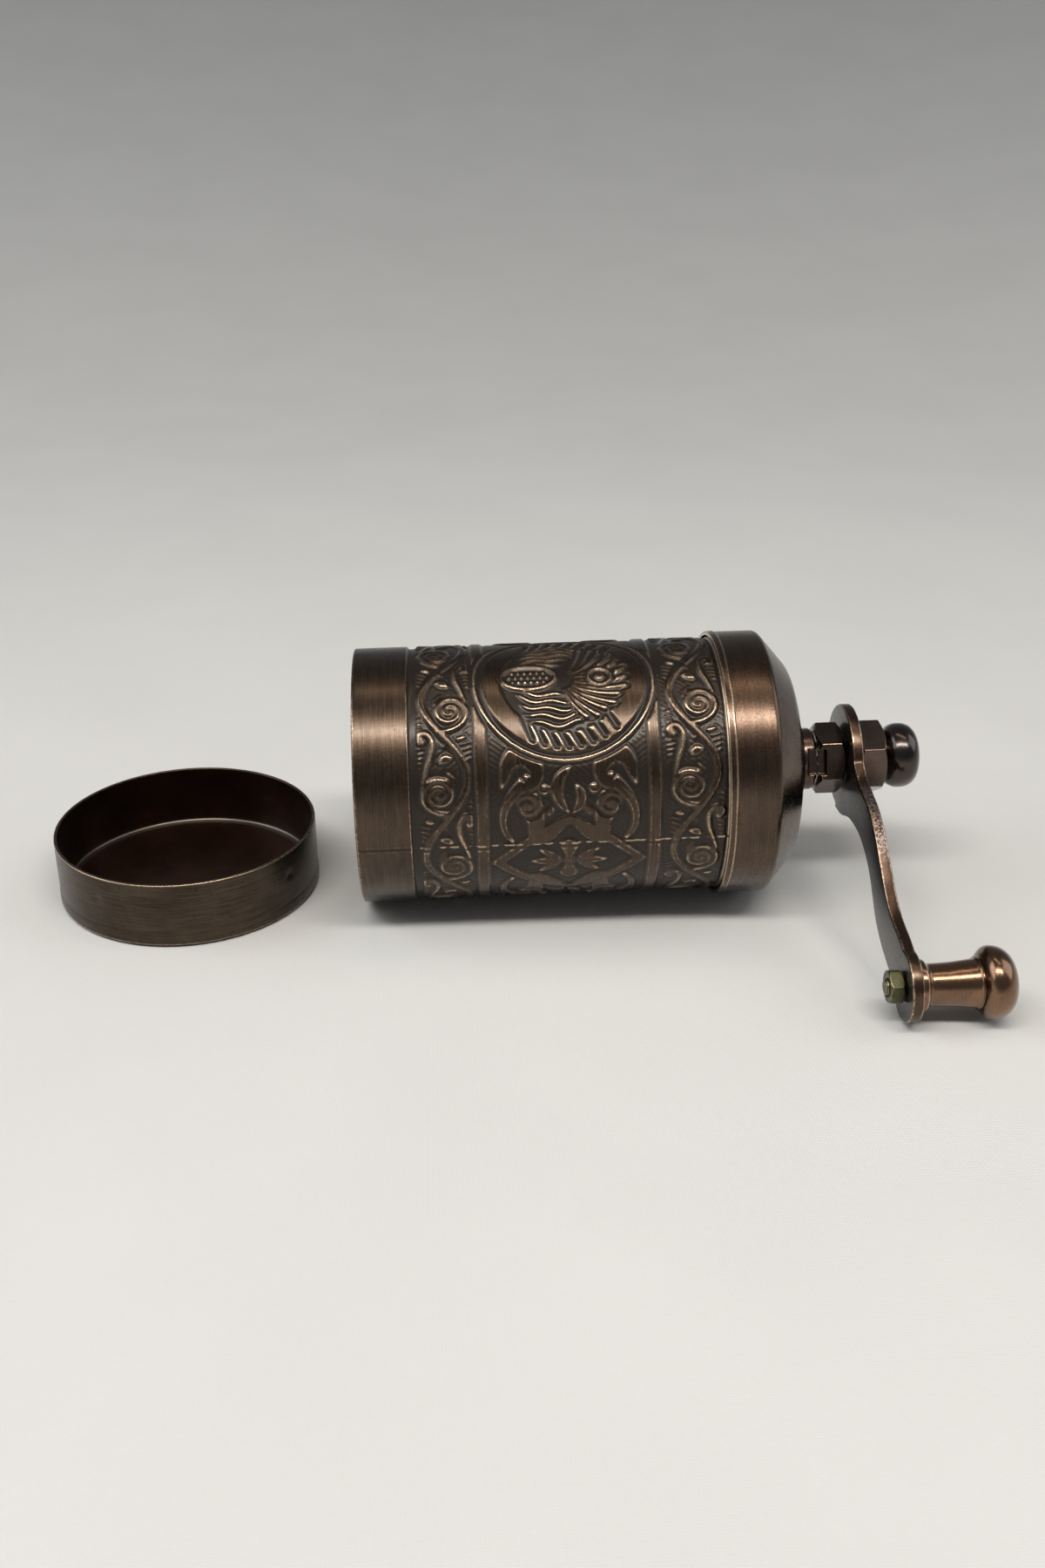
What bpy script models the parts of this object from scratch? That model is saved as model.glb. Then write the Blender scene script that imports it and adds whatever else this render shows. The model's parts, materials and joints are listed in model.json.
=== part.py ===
"""Hand crank coffee mill: an embossed tube with a burr set inside, a push-on
domed cover, a folding-free crank with a turning knob, and a push-on bottom cap.

The mill lies on its side along +X with the crank end at +X; the cap stands
open side up beside the open end.  Every mill piece is modelled in the mill's
own upright frame, where Z runs up the mill from its open rim to the crank, and
hangs from one empty that lays the mill down.  All sizes are in millimetres.
"""

import math

import bmesh
import bpy
from mathutils import Matrix, Vector

MM = 0.001
SEGMENTS = 64  # facets round the large turned pieces
FINE_SEGMENTS = 32  # facets round the small turned pieces

# Clearances
REST_GAP = 0.3  # between two faces that seat on each other
RUNNING_GAP = 0.3  # round a shaft or a screw in its hole, on the radius
SLIP_FIT = 0.3  # cover and cap over the body, on the radius
TABLE_GAP = 0.1  # under the crank's lowest point

# Body
BODY_RADIUS = 24.0
BODY_WALL = 0.8
BODY_HEIGHT = 74.0
GROOVE_START = 9.9
GROOVE_WIDTH = 2.7
GROOVE_DEPTH = 0.4
GROOVE_BEAD = 0.7  # how far the groove stands into the bore
RIM_ROUND = 0.25

# Cover
COVER_LAP = 7.7  # how far it reaches down over the body
COVER_WALL = 0.6
COVER_BEAD = 0.2  # how far the rolled edge stands out
COVER_BEAD_WIDTH = 1.3
COVER_SKIRT = 8.7  # length of the straight skirt
COVER_SHOULDER_RISE = 5.6  # rise of the rounded shoulder above the skirt
COVER_SHOULDER_RUN = 6.5  # how far the shoulder comes in, to the shallow dome
COVER_DOME_RISE = 1.6
COVER_BOSS_RADIUS = 9.2
COVER_BOSS_RISE = 1.1

# Spindle and its bearings
SPINDLE_RADIUS = 2.95
SPINDLE_TIP_RADIUS = 1.0
SPINDLE_THREAD_RADIUS = 2.8
SPINDLE_FLAT = 2.2  # half the width across the flats that carry the arm
DRIVE_HALF = 3.1  # half the side of the square that carries the burr
SHOULDER_RADIUS = 5.0
SHOULDER_THICKNESS = 1.2
COLLAR_RADIUS = 5.9
COLLAR_HEIGHT = 2.7
COLLAR_SPIGOT = 4.4
COLLAR_LIP = 5.7
COLLAR_LIP_THICKNESS = 1.0

# Grinding set
CARRIER_THICKNESS = 1.2
CARRIER_OPENING = 15.6
BURR_FLANGE_SIDE = 1.7  # from the bore to the burr's flange
BURR_FLANGE_THICKNESS = 2.5
OUTER_BURR_RADIUS = 16.4
OUTER_BURR_HEIGHT = 13.7
OUTER_BURR_MOUTH = 12.2
OUTER_BURR_MOUTH_DEPTH = 3.4
INNER_BURR_RADIUS = 13.0
INNER_BURR_TOP_RADIUS = 6.3
INNER_BURR_LAND = 1.2
INNER_BURR_CONE = 13.0
BURR_GAP = 0.78  # between the cones, on the radius
BURR_TEETH = 12
BURR_TOOTH_DEPTH = 0.9
BURR_TWIST = 0.9  # turn of a tooth from bottom to top, radians
BURR_NUT_RADIUS = 5.2
BURR_NUT_THICKNESS = 2.3
FUNNEL_SHEET = 0.7
FUNNEL_LIP = 13.4
FUNNEL_RISE = 8.6
FUNNEL_COLLAR = 2.2

# Lower bridge and grind adjuster
BRIDGE_WIDTH = 11.0
BRIDGE_SHEET = 1.8
BRIDGE_DROP = 3.9  # from the feet down to the strip
BRIDGE_SIDE = 1.2  # from the groove's bead to the end of a foot
BRIDGE_SCREW_EDGE = 2.3  # from the end of a foot to its screw
BRIDGE_FOOT_RUN = 3.0  # from the screw to the bend
BRIDGE_SCREW_RADIUS = 1.3
BRIDGE_SCREW_HEAD = 2.5
BRIDGE_SCREW_HEAD_HEIGHT = 1.5
ADJUSTER_RADIUS = 3.0
ADJUSTER_TRAVEL = 0.75
ADJUSTER_HEAD_RADIUS = 6.5
ADJUSTER_HEAD_THICKNESS = 2.0
ADJUSTER_HEAD_NOTCHES = 12
ADJUSTER_SLOT = 1.2
LOCK_NUT_RADIUS = 5.6
LOCK_NUT_THICKNESS = 2.6

# Upper bridge, spring and clip
TOP_BRIDGE_DROP = 9.4  # from the body's top edge to its underside
TOP_BRIDGE_SHEET = 1.4
TOP_BRIDGE_WIDTH = 12.0
TOP_BRIDGE_TAB = 7.0
TOP_BUSHING_RADIUS = 4.6
TOP_BUSHING_FLANGE = 6.2
TOP_BUSHING_FLANGE_THICKNESS = 1.0
TOP_BUSHING_RISE = 2.5
RIVET_RADIUS = 1.1
RIVET_HEAD_RADIUS = 2.2
RIVET_HEAD_HEIGHT = 1.2
RIVET_HEIGHT = 4.9  # above the bridge's underside
CLIP_RISE = 10.0  # above the spindle's shoulder
CLIP_GROOVE = 1.5
CLIP_THICKNESS = 0.9
CLIP_SEAT_RADIUS = 2.35
CLIP_RADIUS = 5.0
CLIP_OPENING = 70.0  # degrees
WASHER_RADIUS = 6.2
WASHER_THICKNESS = 1.0
SPRING_WIRE = 0.55
SPRING_COIL = 4.6
SPRING_PITCH = 2.65
SPRING_PLAY = 0.92  # free height left over the spring

# Crank
HUB_NUT_RADIUS = 6.9
HUB_NUT_HEIGHT = 5.0
HUB_NUT_CHAMFER = 0.5
HUB_PHASE = -8.0  # turn of the hub's facets from the arm, degrees
NOTCH_WIDTH = 5.0
NOTCH_LENGTH = 1.5
NOTCH_DEPTH = 1.3
ARM_THICKNESS = 2.1
ARM_LENGTH = 53.7
ARM_HEAD_RADIUS = 10.2
ARM_END_RADIUS = 6.2
ARM_EDGE_ROUND = 0.25
# Share of the arm's length, how far its middle bows aside, half its width.
ARM_STATIONS = (
    (0.06, -1.2, 9.4),
    (0.13, -0.9, 7.8),
    (0.21, 0.6, 5.5),
    (0.29, 2.1, 4.6),
    (0.37, 3.2, 4.3),
    (0.44, 3.3, 4.15),
    (0.52, 2.6, 4.0),
    (0.59, 1.3, 4.2),
    (0.66, -0.1, 4.5),
    (0.77, -0.8, 4.5),
    (0.88, -0.1, 4.8),
    (1.0, 0.0, 5.4),
)
FINIAL_HEX_RADIUS = 7.4
FINIAL_HEX_HEIGHT = 5.2
FINIAL_HEX_CHAMFER = 0.6
FINIAL_PHASE = 5.5
FINIAL_BALL_RADIUS = 6.2
FINIAL_BALL_LENGTH = 7.1
FINIAL_NECK_RADIUS = 4.9
FINIAL_NECK_LENGTH = 0.5
FINIAL_BORE_DEPTH = 8.6

# Knob
KNOB_FLANGE_RADIUS = 4.5
KNOB_GRIP_RADIUS = 3.6
KNOB_GRIP_TOP_RADIUS = 4.2
KNOB_GRIP_LENGTH = 9.6
KNOB_HEAD_RADIUS = 6.3
KNOB_HEAD_LENGTH = 6.8
KNOB_BOLT_RADIUS = 1.5
KNOB_BOLT_HEAD_RADIUS = 2.6
KNOB_BOLT_HEAD_HEIGHT = 1.4
KNOB_NUT_RADIUS = 3.1
KNOB_NUT_THICKNESS = 2.3
KNOB_BOLT_END = 0.5

# Cap
CAP_WALL = 0.65
CAP_HEIGHT = 12.65
CAP_FLOOR = 0.7
CAP_BAND_HEIGHT = 2.0
CAP_BAND_STEP = 0.12
CAP_STAND_OFF = 9.53  # between the cap and the mill's open rim
CAP_Y = 4.4

# Places and heights along the mill that follow from the sizes above
BORE_RADIUS = BODY_RADIUS - BODY_WALL
INNER_FIT = BORE_RADIUS - REST_GAP
COVER_RIM = BODY_HEIGHT - COVER_LAP
TOP_BRIDGE_HEIGHT = BODY_HEIGHT - TOP_BRIDGE_DROP
BURR_FLANGE_RADIUS = BORE_RADIUS - BURR_FLANGE_SIDE
BRIDGE_FOOT = BORE_RADIUS - GROOVE_BEAD - BRIDGE_SIDE
BRIDGE_SCREW_OFFSET = BRIDGE_FOOT - BRIDGE_SCREW_EDGE
BRIDGE_HALF_SPAN = BRIDGE_SCREW_OFFSET - BRIDGE_FOOT_RUN
BEAD_TOP = GROOVE_START + GROOVE_WIDTH + 0.3
CARRIER_BASE = BEAD_TOP + REST_GAP
FLANGE_BASE = CARRIER_BASE + CARRIER_THICKNESS + REST_GAP
OUTER_BURR_TOP = FLANGE_BASE + OUTER_BURR_HEIGHT
INNER_BURR_BASE = FLANGE_BASE + 0.6
INNER_BURR_TOP = INNER_BURR_BASE + INNER_BURR_LAND + INNER_BURR_CONE
FOOT_TOP = CARRIER_BASE - REST_GAP
FOOT_BASE = FOOT_TOP - BRIDGE_SHEET
STRIP_TOP = FOOT_BASE - BRIDGE_DROP + BRIDGE_SHEET
STRIP_BASE = STRIP_TOP - BRIDGE_SHEET
BURR_NUT_TOP = INNER_BURR_BASE - REST_GAP
SPINDLE_TIP = BURR_NUT_TOP - BURR_NUT_THICKNESS - 0.8
ADJUSTER_TOP = SPINDLE_TIP - REST_GAP
LOCK_NUT_TOP = STRIP_BASE - REST_GAP
ADJUSTER_HEAD_TOP = LOCK_NUT_TOP - LOCK_NUT_THICKNESS - ADJUSTER_TRAVEL - REST_GAP
SHOULDER_BASE = INNER_BURR_TOP + REST_GAP
CLIP_HEIGHT = SHOULDER_BASE + SHOULDER_THICKNESS + CLIP_RISE
CLIP_BASE = CLIP_HEIGHT + (CLIP_GROOVE - CLIP_THICKNESS) / 2
WASHER_BASE = CLIP_BASE + CLIP_THICKNESS + REST_GAP
SPRING_BASE = WASHER_BASE + WASHER_THICKNESS + REST_GAP
BUSHING_FLANGE_TOP = TOP_BRIDGE_HEIGHT - REST_GAP
BUSHING_BASE = BUSHING_FLANGE_TOP - TOP_BUSHING_FLANGE_THICKNESS
SPRING_TOP = BUSHING_BASE - SPRING_PLAY
SPRING_TURNS = round((SPRING_TOP - SPRING_BASE) / SPRING_PITCH)
COVER_RADIUS = BODY_RADIUS + SLIP_FIT + COVER_WALL
COVER_SHOULDER_RADIUS = COVER_RADIUS - COVER_SHOULDER_RUN
CAP_RADIUS = BODY_RADIUS + SLIP_FIT + CAP_WALL + CAP_BAND_STEP
CAP_X = -(CAP_RADIUS + CAP_STAND_OFF)
SKIRT_TOP = COVER_RIM + COVER_SKIRT
SHOULDER_TOP = SKIRT_TOP + COVER_SHOULDER_RISE
DOME_TOP = SHOULDER_TOP + COVER_DOME_RISE
COVER_TOP = DOME_TOP + COVER_BOSS_RISE
COLLAR_BASE = COVER_TOP + REST_GAP
COLLAR_TOP = COLLAR_BASE + COLLAR_HEIGHT
HUB_BASE = COLLAR_TOP + REST_GAP
HUB_TOP = HUB_BASE + HUB_NUT_HEIGHT
ARM_BASE = HUB_TOP + REST_GAP
ARM_TOP = ARM_BASE + ARM_THICKNESS
FINIAL_BASE = ARM_TOP + REST_GAP
FINIAL_HEX_TOP = FINIAL_BASE + FINIAL_HEX_HEIGHT
FINIAL_TOP = FINIAL_HEX_TOP + FINIAL_BALL_LENGTH
SPINDLE_TOP = FINIAL_BASE + FINIAL_BORE_DEPTH - RUNNING_GAP
KNOB_BASE = ARM_TOP + REST_GAP
KNOB_HEAD_BASE = KNOB_BASE + KNOB_GRIP_LENGTH
KNOB_TOP = KNOB_HEAD_BASE + KNOB_HEAD_LENGTH
KNOB_WIDEST = KNOB_HEAD_BASE + 0.42 * KNOB_HEAD_LENGTH

# How the mill lies: on the cover's rolled edge and on the open rim
LIE_TILT = math.atan2(COVER_RADIUS + COVER_BEAD - BODY_RADIUS, COVER_RIM + COVER_BEAD_WIDTH / 2)
CRANK_DROP = min(
    BODY_RADIUS + ARM_BASE * math.tan(LIE_TILT) - ARM_END_RADIUS,
    BODY_RADIUS + KNOB_WIDEST * math.tan(LIE_TILT) - KNOB_HEAD_RADIUS,
) - TABLE_GAP
CRANK_ANGLE = math.asin(max(-1.0, min(1.0, CRANK_DROP / ARM_LENGTH)))

MATERIALS = {
    "aged_copper": ((0.26, 0.13, 0.07), 0.38, 1.0),
    "dark_bronze": ((0.12, 0.07, 0.045), 0.34, 1.0),
    "bright_copper": ((0.50, 0.22, 0.10), 0.28, 1.0),
    "burr_steel": ((0.22, 0.22, 0.23), 0.45, 1.0),
    "sheet_steel": ((0.42, 0.42, 0.43), 0.36, 1.0),
    "brass": ((0.60, 0.44, 0.18), 0.32, 1.0),
    "spring_steel": ((0.33, 0.33, 0.35), 0.30, 1.0),
    "zinc_plate": ((0.55, 0.52, 0.33), 0.38, 1.0),
}


def material(kind, name):
    """A material of its own for one piece, in one of the mill's finishes."""
    color, roughness, metallic = MATERIALS[kind]
    made = bpy.data.materials.new(name + "_" + kind)
    made.use_nodes = True
    made.diffuse_color = (*color, 1.0)
    shader = made.node_tree.nodes["Principled BSDF"]
    shader.inputs["Base Color"].default_value = (*color, 1.0)
    shader.inputs["Roughness"].default_value = roughness
    shader.inputs["Metallic"].default_value = metallic
    return made


def empty(name, location=(0, 0, 0), rotation=(0, 0, 0), parent=None):
    """A bare frame that pieces hang from."""
    made = bpy.data.objects.new(name, None)
    made.location = Vector(location) * MM
    made.rotation_euler = rotation
    made.parent = parent
    made.empty_display_size = 0.01
    bpy.context.scene.collection.objects.link(made)
    return made


def place(name, mesh, kind, parent, origin=(0, 0, 0)):
    """Links a mesh as a piece, with its origin moved to a point in millimetres."""
    bm = bmesh.new()
    bm.from_mesh(mesh)
    bmesh.ops.recalc_face_normals(bm, faces=bm.faces)
    bmesh.ops.translate(bm, verts=bm.verts, vec=-Vector(origin))
    bmesh.ops.scale(bm, verts=bm.verts, vec=(MM, MM, MM))
    bm.to_mesh(mesh)
    bm.free()
    mesh.shade_smooth()
    mesh.set_sharp_from_angle(angle=math.radians(32))
    piece = bpy.data.objects.new(name, mesh)
    piece.location = Vector(origin) * MM
    piece.parent = parent
    if kind:
        mesh.materials.append(material(kind, name))
    bpy.context.scene.collection.objects.link(piece)
    return piece


def cutter(name, mesh, parent):
    """A piece that only shapes others."""
    made = place(name, mesh, None, parent)
    made.hide_render = True
    made.display_type = "WIRE"
    return made


def shape(piece, tool, operation="DIFFERENCE"):
    """Cuts, joins or trims a piece by another."""
    step = piece.modifiers.new(operation.title() + " " + tool.name, "BOOLEAN")
    step.operation = operation
    step.solver = "EXACT"
    step.object = tool


def mesh_of(name, points, faces):
    mesh = bpy.data.meshes.new(name)
    mesh.from_pydata(points, [], faces)
    mesh.validate()
    return mesh


def revolve(name, profile, segments=SEGMENTS, phase=0.0):
    """A solid turned about Z from a closed outline of (radius, height) points.
    An outline that starts and ends on the axis closes there."""
    points, rows = [], []
    for radius, height in profile:
        if radius < 1e-6:
            rows.append([len(points)])
            points.append((0.0, 0.0, height))
            continue
        rows.append(list(range(len(points), len(points) + segments)))
        for i in range(segments):
            a = phase + 2 * math.pi * i / segments
            points.append((radius * math.cos(a), radius * math.sin(a), height))
    faces = []
    for k, row in enumerate(rows):
        after = rows[(k + 1) % len(rows)]
        if len(row) == 1 and len(after) == 1:
            continue
        for i in range(segments):
            j = (i + 1) % segments
            if len(row) == 1:
                faces.append((row[0], after[j], after[i]))
            elif len(after) == 1:
                faces.append((row[i], row[j], after[0]))
            else:
                faces.append((row[i], row[j], after[j], after[i]))
    return mesh_of(name, points, faces)


def stack(name, rings):
    """A ring-shaped solid from closed rings of points, each joined to the next
    and the last to the first."""
    count = len(rings[0])
    points = [p for ring in rings for p in ring]
    faces = []
    for k in range(len(rings)):
        a, b = k * count, (k + 1) % len(rings) * count
        for i in range(count):
            j = (i + 1) % count
            faces.append((a + i, a + j, b + j, b + i))
    return mesh_of(name, points, faces)


def prism(name, outline, low, high, axis="Z"):
    """A solid extruded from a flat outline between two heights along an axis."""
    turn = {
        "Z": lambda u, v, h: (u, v, h),
        "X": lambda u, v, h: (h, u, v),
        "Y": lambda u, v, h: (u, h, v),
    }[axis]
    count = len(outline)
    points = [turn(u, v, low) for u, v in outline] + [turn(u, v, high) for u, v in outline]
    faces = [tuple(range(count)), tuple(range(2 * count - 1, count - 1, -1))]
    for i in range(count):
        j = (i + 1) % count
        faces.append((i, j, count + j, count + i))
    return mesh_of(name, points, faces)


def box(name, low, high):
    corners = [(low[0], low[1]), (high[0], low[1]), (high[0], high[1]), (low[0], high[1])]
    return prism(name, corners, low[2], high[2])


def disc(name, radius, low, high, centre=(0, 0), segments=FINE_SEGMENTS, axis="Z", phase=0.37):
    """A round bar; its corners are turned by a share of a facet, so that none
    lies in line with a corner of what it cuts."""
    outline = []
    for i in range(segments):
        a = 2 * math.pi * (i + phase) / segments
        outline.append((centre[0] + radius * math.cos(a), centre[1] + radius * math.sin(a)))
    return prism(name, outline, low, high, axis)


def arc(centre, radius, start, end, steps):
    """Points of a circle's arc in the (radius, height) plane, in degrees."""
    found = []
    for i in range(steps + 1):
        a = math.radians(start + (end - start) * i / steps)
        found.append((centre[0] + radius * math.cos(a), centre[1] + radius * math.sin(a)))
    return found


def inset(outline, distance):
    """An open outline moved sideways to its left by a distance."""
    found = []
    for i, (r, h) in enumerate(outline):
        before = outline[max(i - 1, 0)]
        after = outline[min(i + 1, len(outline) - 1)]
        dr, dh = after[0] - before[0], after[1] - before[1]
        size = math.hypot(dr, dh)
        found.append((r - dh / size * distance, h + dr / size * distance))
    return found


def smooth(stations, share):
    """The values at one share, along a smooth curve through the stations."""
    if share <= stations[0][0]:
        return stations[0][1:]
    for i in range(len(stations) - 1):
        a, b = stations[i], stations[i + 1]
        if share <= b[0]:
            p, q = stations[max(i - 1, 0)], stations[min(i + 2, len(stations) - 1)]
            t = (share - a[0]) / (b[0] - a[0])
            values = []
            for k in (1, 2):
                m0 = (b[k] - p[k]) / (b[0] - p[0]) * (b[0] - a[0])
                m1 = (q[k] - a[k]) / (q[0] - a[0]) * (b[0] - a[0])
                values.append(
                    (2 * t**3 - 3 * t**2 + 1) * a[k]
                    + (t**3 - 2 * t**2 + t) * m0
                    + (-2 * t**3 + 3 * t**2) * b[k]
                    + (t**3 - t**2) * m1
                )
            return tuple(values)
    return stations[-1][1:]


def nut(name, kind, parent, radius, low, high, bore, chamfer, phase=0.0):
    """A hexagonal nut with turned corners, bored through unless bore is 0."""
    piece = place(
        name,
        disc(name, radius, low - 1, high + 1, segments=6, phase=0),
        kind,
        parent,
        origin=(0, 0, low),
    )
    piece.rotation_euler = (0, 0, math.radians(phase))
    flat = radius * math.cos(math.pi / 6)
    outline = [
        (flat * 0.97, low),
        (radius, low + chamfer),
        (radius, high - chamfer),
        (flat * 0.97, high),
    ]
    outline += [(bore, high), (bore, low)] if bore else [(0, high), (0, low)]
    shape(piece, cutter(name + "_turning", revolve(name, outline, FINE_SEGMENTS), parent), "INTERSECT")
    return piece


def toothed(radius, height, share, depth, sign, count):
    """A ring whose radius is cut by slanting teeth."""
    ring = []
    for i in range(count):
        a = 2 * math.pi * i / count
        wave = ((a * BURR_TEETH / (2 * math.pi)) + share * BURR_TWIST * BURR_TEETH / (2 * math.pi)) % 1.0
        cut = depth * (1.0 - wave)
        r = radius + sign * cut
        ring.append((r * math.cos(a), r * math.sin(a), height))
    return ring


def round_ring(radius, height, count):
    return toothed(radius, height, 0.0, 0.0, 1, count)


def square_ring(half, height, count):
    """A ring on a square; the point nearest each corner sits on the corner."""
    ring = []
    for i in range(count):
        a = 2 * math.pi * i / count
        corner = math.pi / 4 + math.pi / 2 * math.floor(a / (math.pi / 2))
        if abs(a - corner) <= math.pi / count:
            a = corner
        reach = half / max(abs(math.cos(a)), abs(math.sin(a)))
        ring.append((reach * math.cos(a), reach * math.sin(a), height))
    return ring


def clear_scene():
    for old in list(bpy.data.objects):
        bpy.data.objects.remove(old, do_unlink=True)


def build_body(mill):
    """The embossed tube, with the rolled groove that the grinding set rests on."""
    groove_end = GROOVE_START + GROOVE_WIDTH
    outer = BODY_RADIUS
    bead = BORE_RADIUS - GROOVE_BEAD
    profile = [
        (outer - RIM_ROUND, 0),
        (outer, RIM_ROUND),
        (outer, GROOVE_START),
        (outer - GROOVE_DEPTH, GROOVE_START + GROOVE_WIDTH * 0.25),
        (outer - GROOVE_DEPTH, groove_end - GROOVE_WIDTH * 0.25),
        (outer, groove_end),
        (outer, BODY_HEIGHT - RIM_ROUND),
        (outer - RIM_ROUND, BODY_HEIGHT),
        (BORE_RADIUS, BODY_HEIGHT),
        (BORE_RADIUS, BEAD_TOP),
        (bead, BEAD_TOP - GROOVE_WIDTH * 0.2),
        (bead, GROOVE_START + GROOVE_WIDTH * 0.1),
        (BORE_RADIUS, GROOVE_START - 0.3),
        (BORE_RADIUS, 0),
    ]
    body = place("body_shell", revolve("body_shell", profile), "aged_copper", mill)
    height = TOP_BRIDGE_HEIGHT + RIVET_HEIGHT
    hole = RIVET_RADIUS + RUNNING_GAP
    drill = disc("rivet_drill", hole, -BODY_RADIUS - 5, BODY_RADIUS + 5, (0, height), 20, "Y")
    shape(body, cutter("rivet_drill", drill, mill))
    return body


def cover_outline():
    """The cover's outer side from its rolled edge to its centre hole."""
    outer, boss = COVER_RADIUS, COVER_BOSS_RADIUS
    run = outer - COVER_SHOULDER_RADIUS
    rise = COVER_SHOULDER_RISE
    # a soft edge, a slanting face and a soft turn into the dome
    turns = ((0.06, 0.1), (0.31, 0.375), (0.63, 0.75), (0.83, 0.92))
    shoulder = [(outer - run * a, SKIRT_TOP + rise * b) for a, b in turns]
    dome = [
        (COVER_SHOULDER_RADIUS * 0.99, SHOULDER_TOP),
        (COVER_SHOULDER_RADIUS * 0.78, SHOULDER_TOP + COVER_DOME_RISE * 0.7),
        (boss + 0.5, DOME_TOP),
        (boss - 0.2, COVER_TOP - 0.25),
        (boss - 1.0, COVER_TOP),
    ]
    return [(outer, SKIRT_TOP)] + shoulder + dome


def build_cover(mill):
    """The domed cover that pushes over the top of the body, and its collar."""
    outer = COVER_RADIUS
    inner = outer - COVER_WALL
    bead = outer + COVER_BEAD
    hole = COLLAR_SPIGOT + RUNNING_GAP
    top = cover_outline() + [(hole, COVER_TOP)]
    profile = [
        (inner, COVER_RIM),
        (outer - 0.1, COVER_RIM),
        (bead, COVER_RIM + 0.25),
        (bead, COVER_RIM + COVER_BEAD_WIDTH - 0.35),
        (outer, COVER_RIM + COVER_BEAD_WIDTH),
    ]
    under = [(inner, SKIRT_TOP)] + inset(top, COVER_WALL)[2:-3]
    under.append((COVER_BOSS_RADIUS - 1.0, COVER_TOP - COVER_WALL))
    under.append((hole, COVER_TOP - COVER_WALL))
    profile += top + under[::-1]
    cover = place("top_cover", revolve("top_cover", profile), "aged_copper", mill, (0, 0, COVER_RIM))

    lip_top = COVER_TOP - COVER_WALL - REST_GAP
    bore = SPINDLE_RADIUS + RUNNING_GAP
    spool = [
        (bore, lip_top - COLLAR_LIP_THICKNESS),
        (COLLAR_LIP, lip_top - COLLAR_LIP_THICKNESS),
        (COLLAR_LIP, lip_top),
        (COLLAR_SPIGOT, lip_top),
        (COLLAR_SPIGOT, COLLAR_BASE),
        (COLLAR_RADIUS - 0.3, COLLAR_BASE),
        (COLLAR_RADIUS, COLLAR_BASE + 0.3),
        (COLLAR_RADIUS, COLLAR_TOP - 0.4),
        (COLLAR_RADIUS - 0.4, COLLAR_TOP),
        (bore, COLLAR_TOP),
    ]
    collar = place(
        "cover_collar",
        revolve("cover_collar", spool, FINE_SEGMENTS),
        "dark_bronze",
        mill,
        (0, 0, COLLAR_BASE),
    )
    return cover, collar


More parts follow.
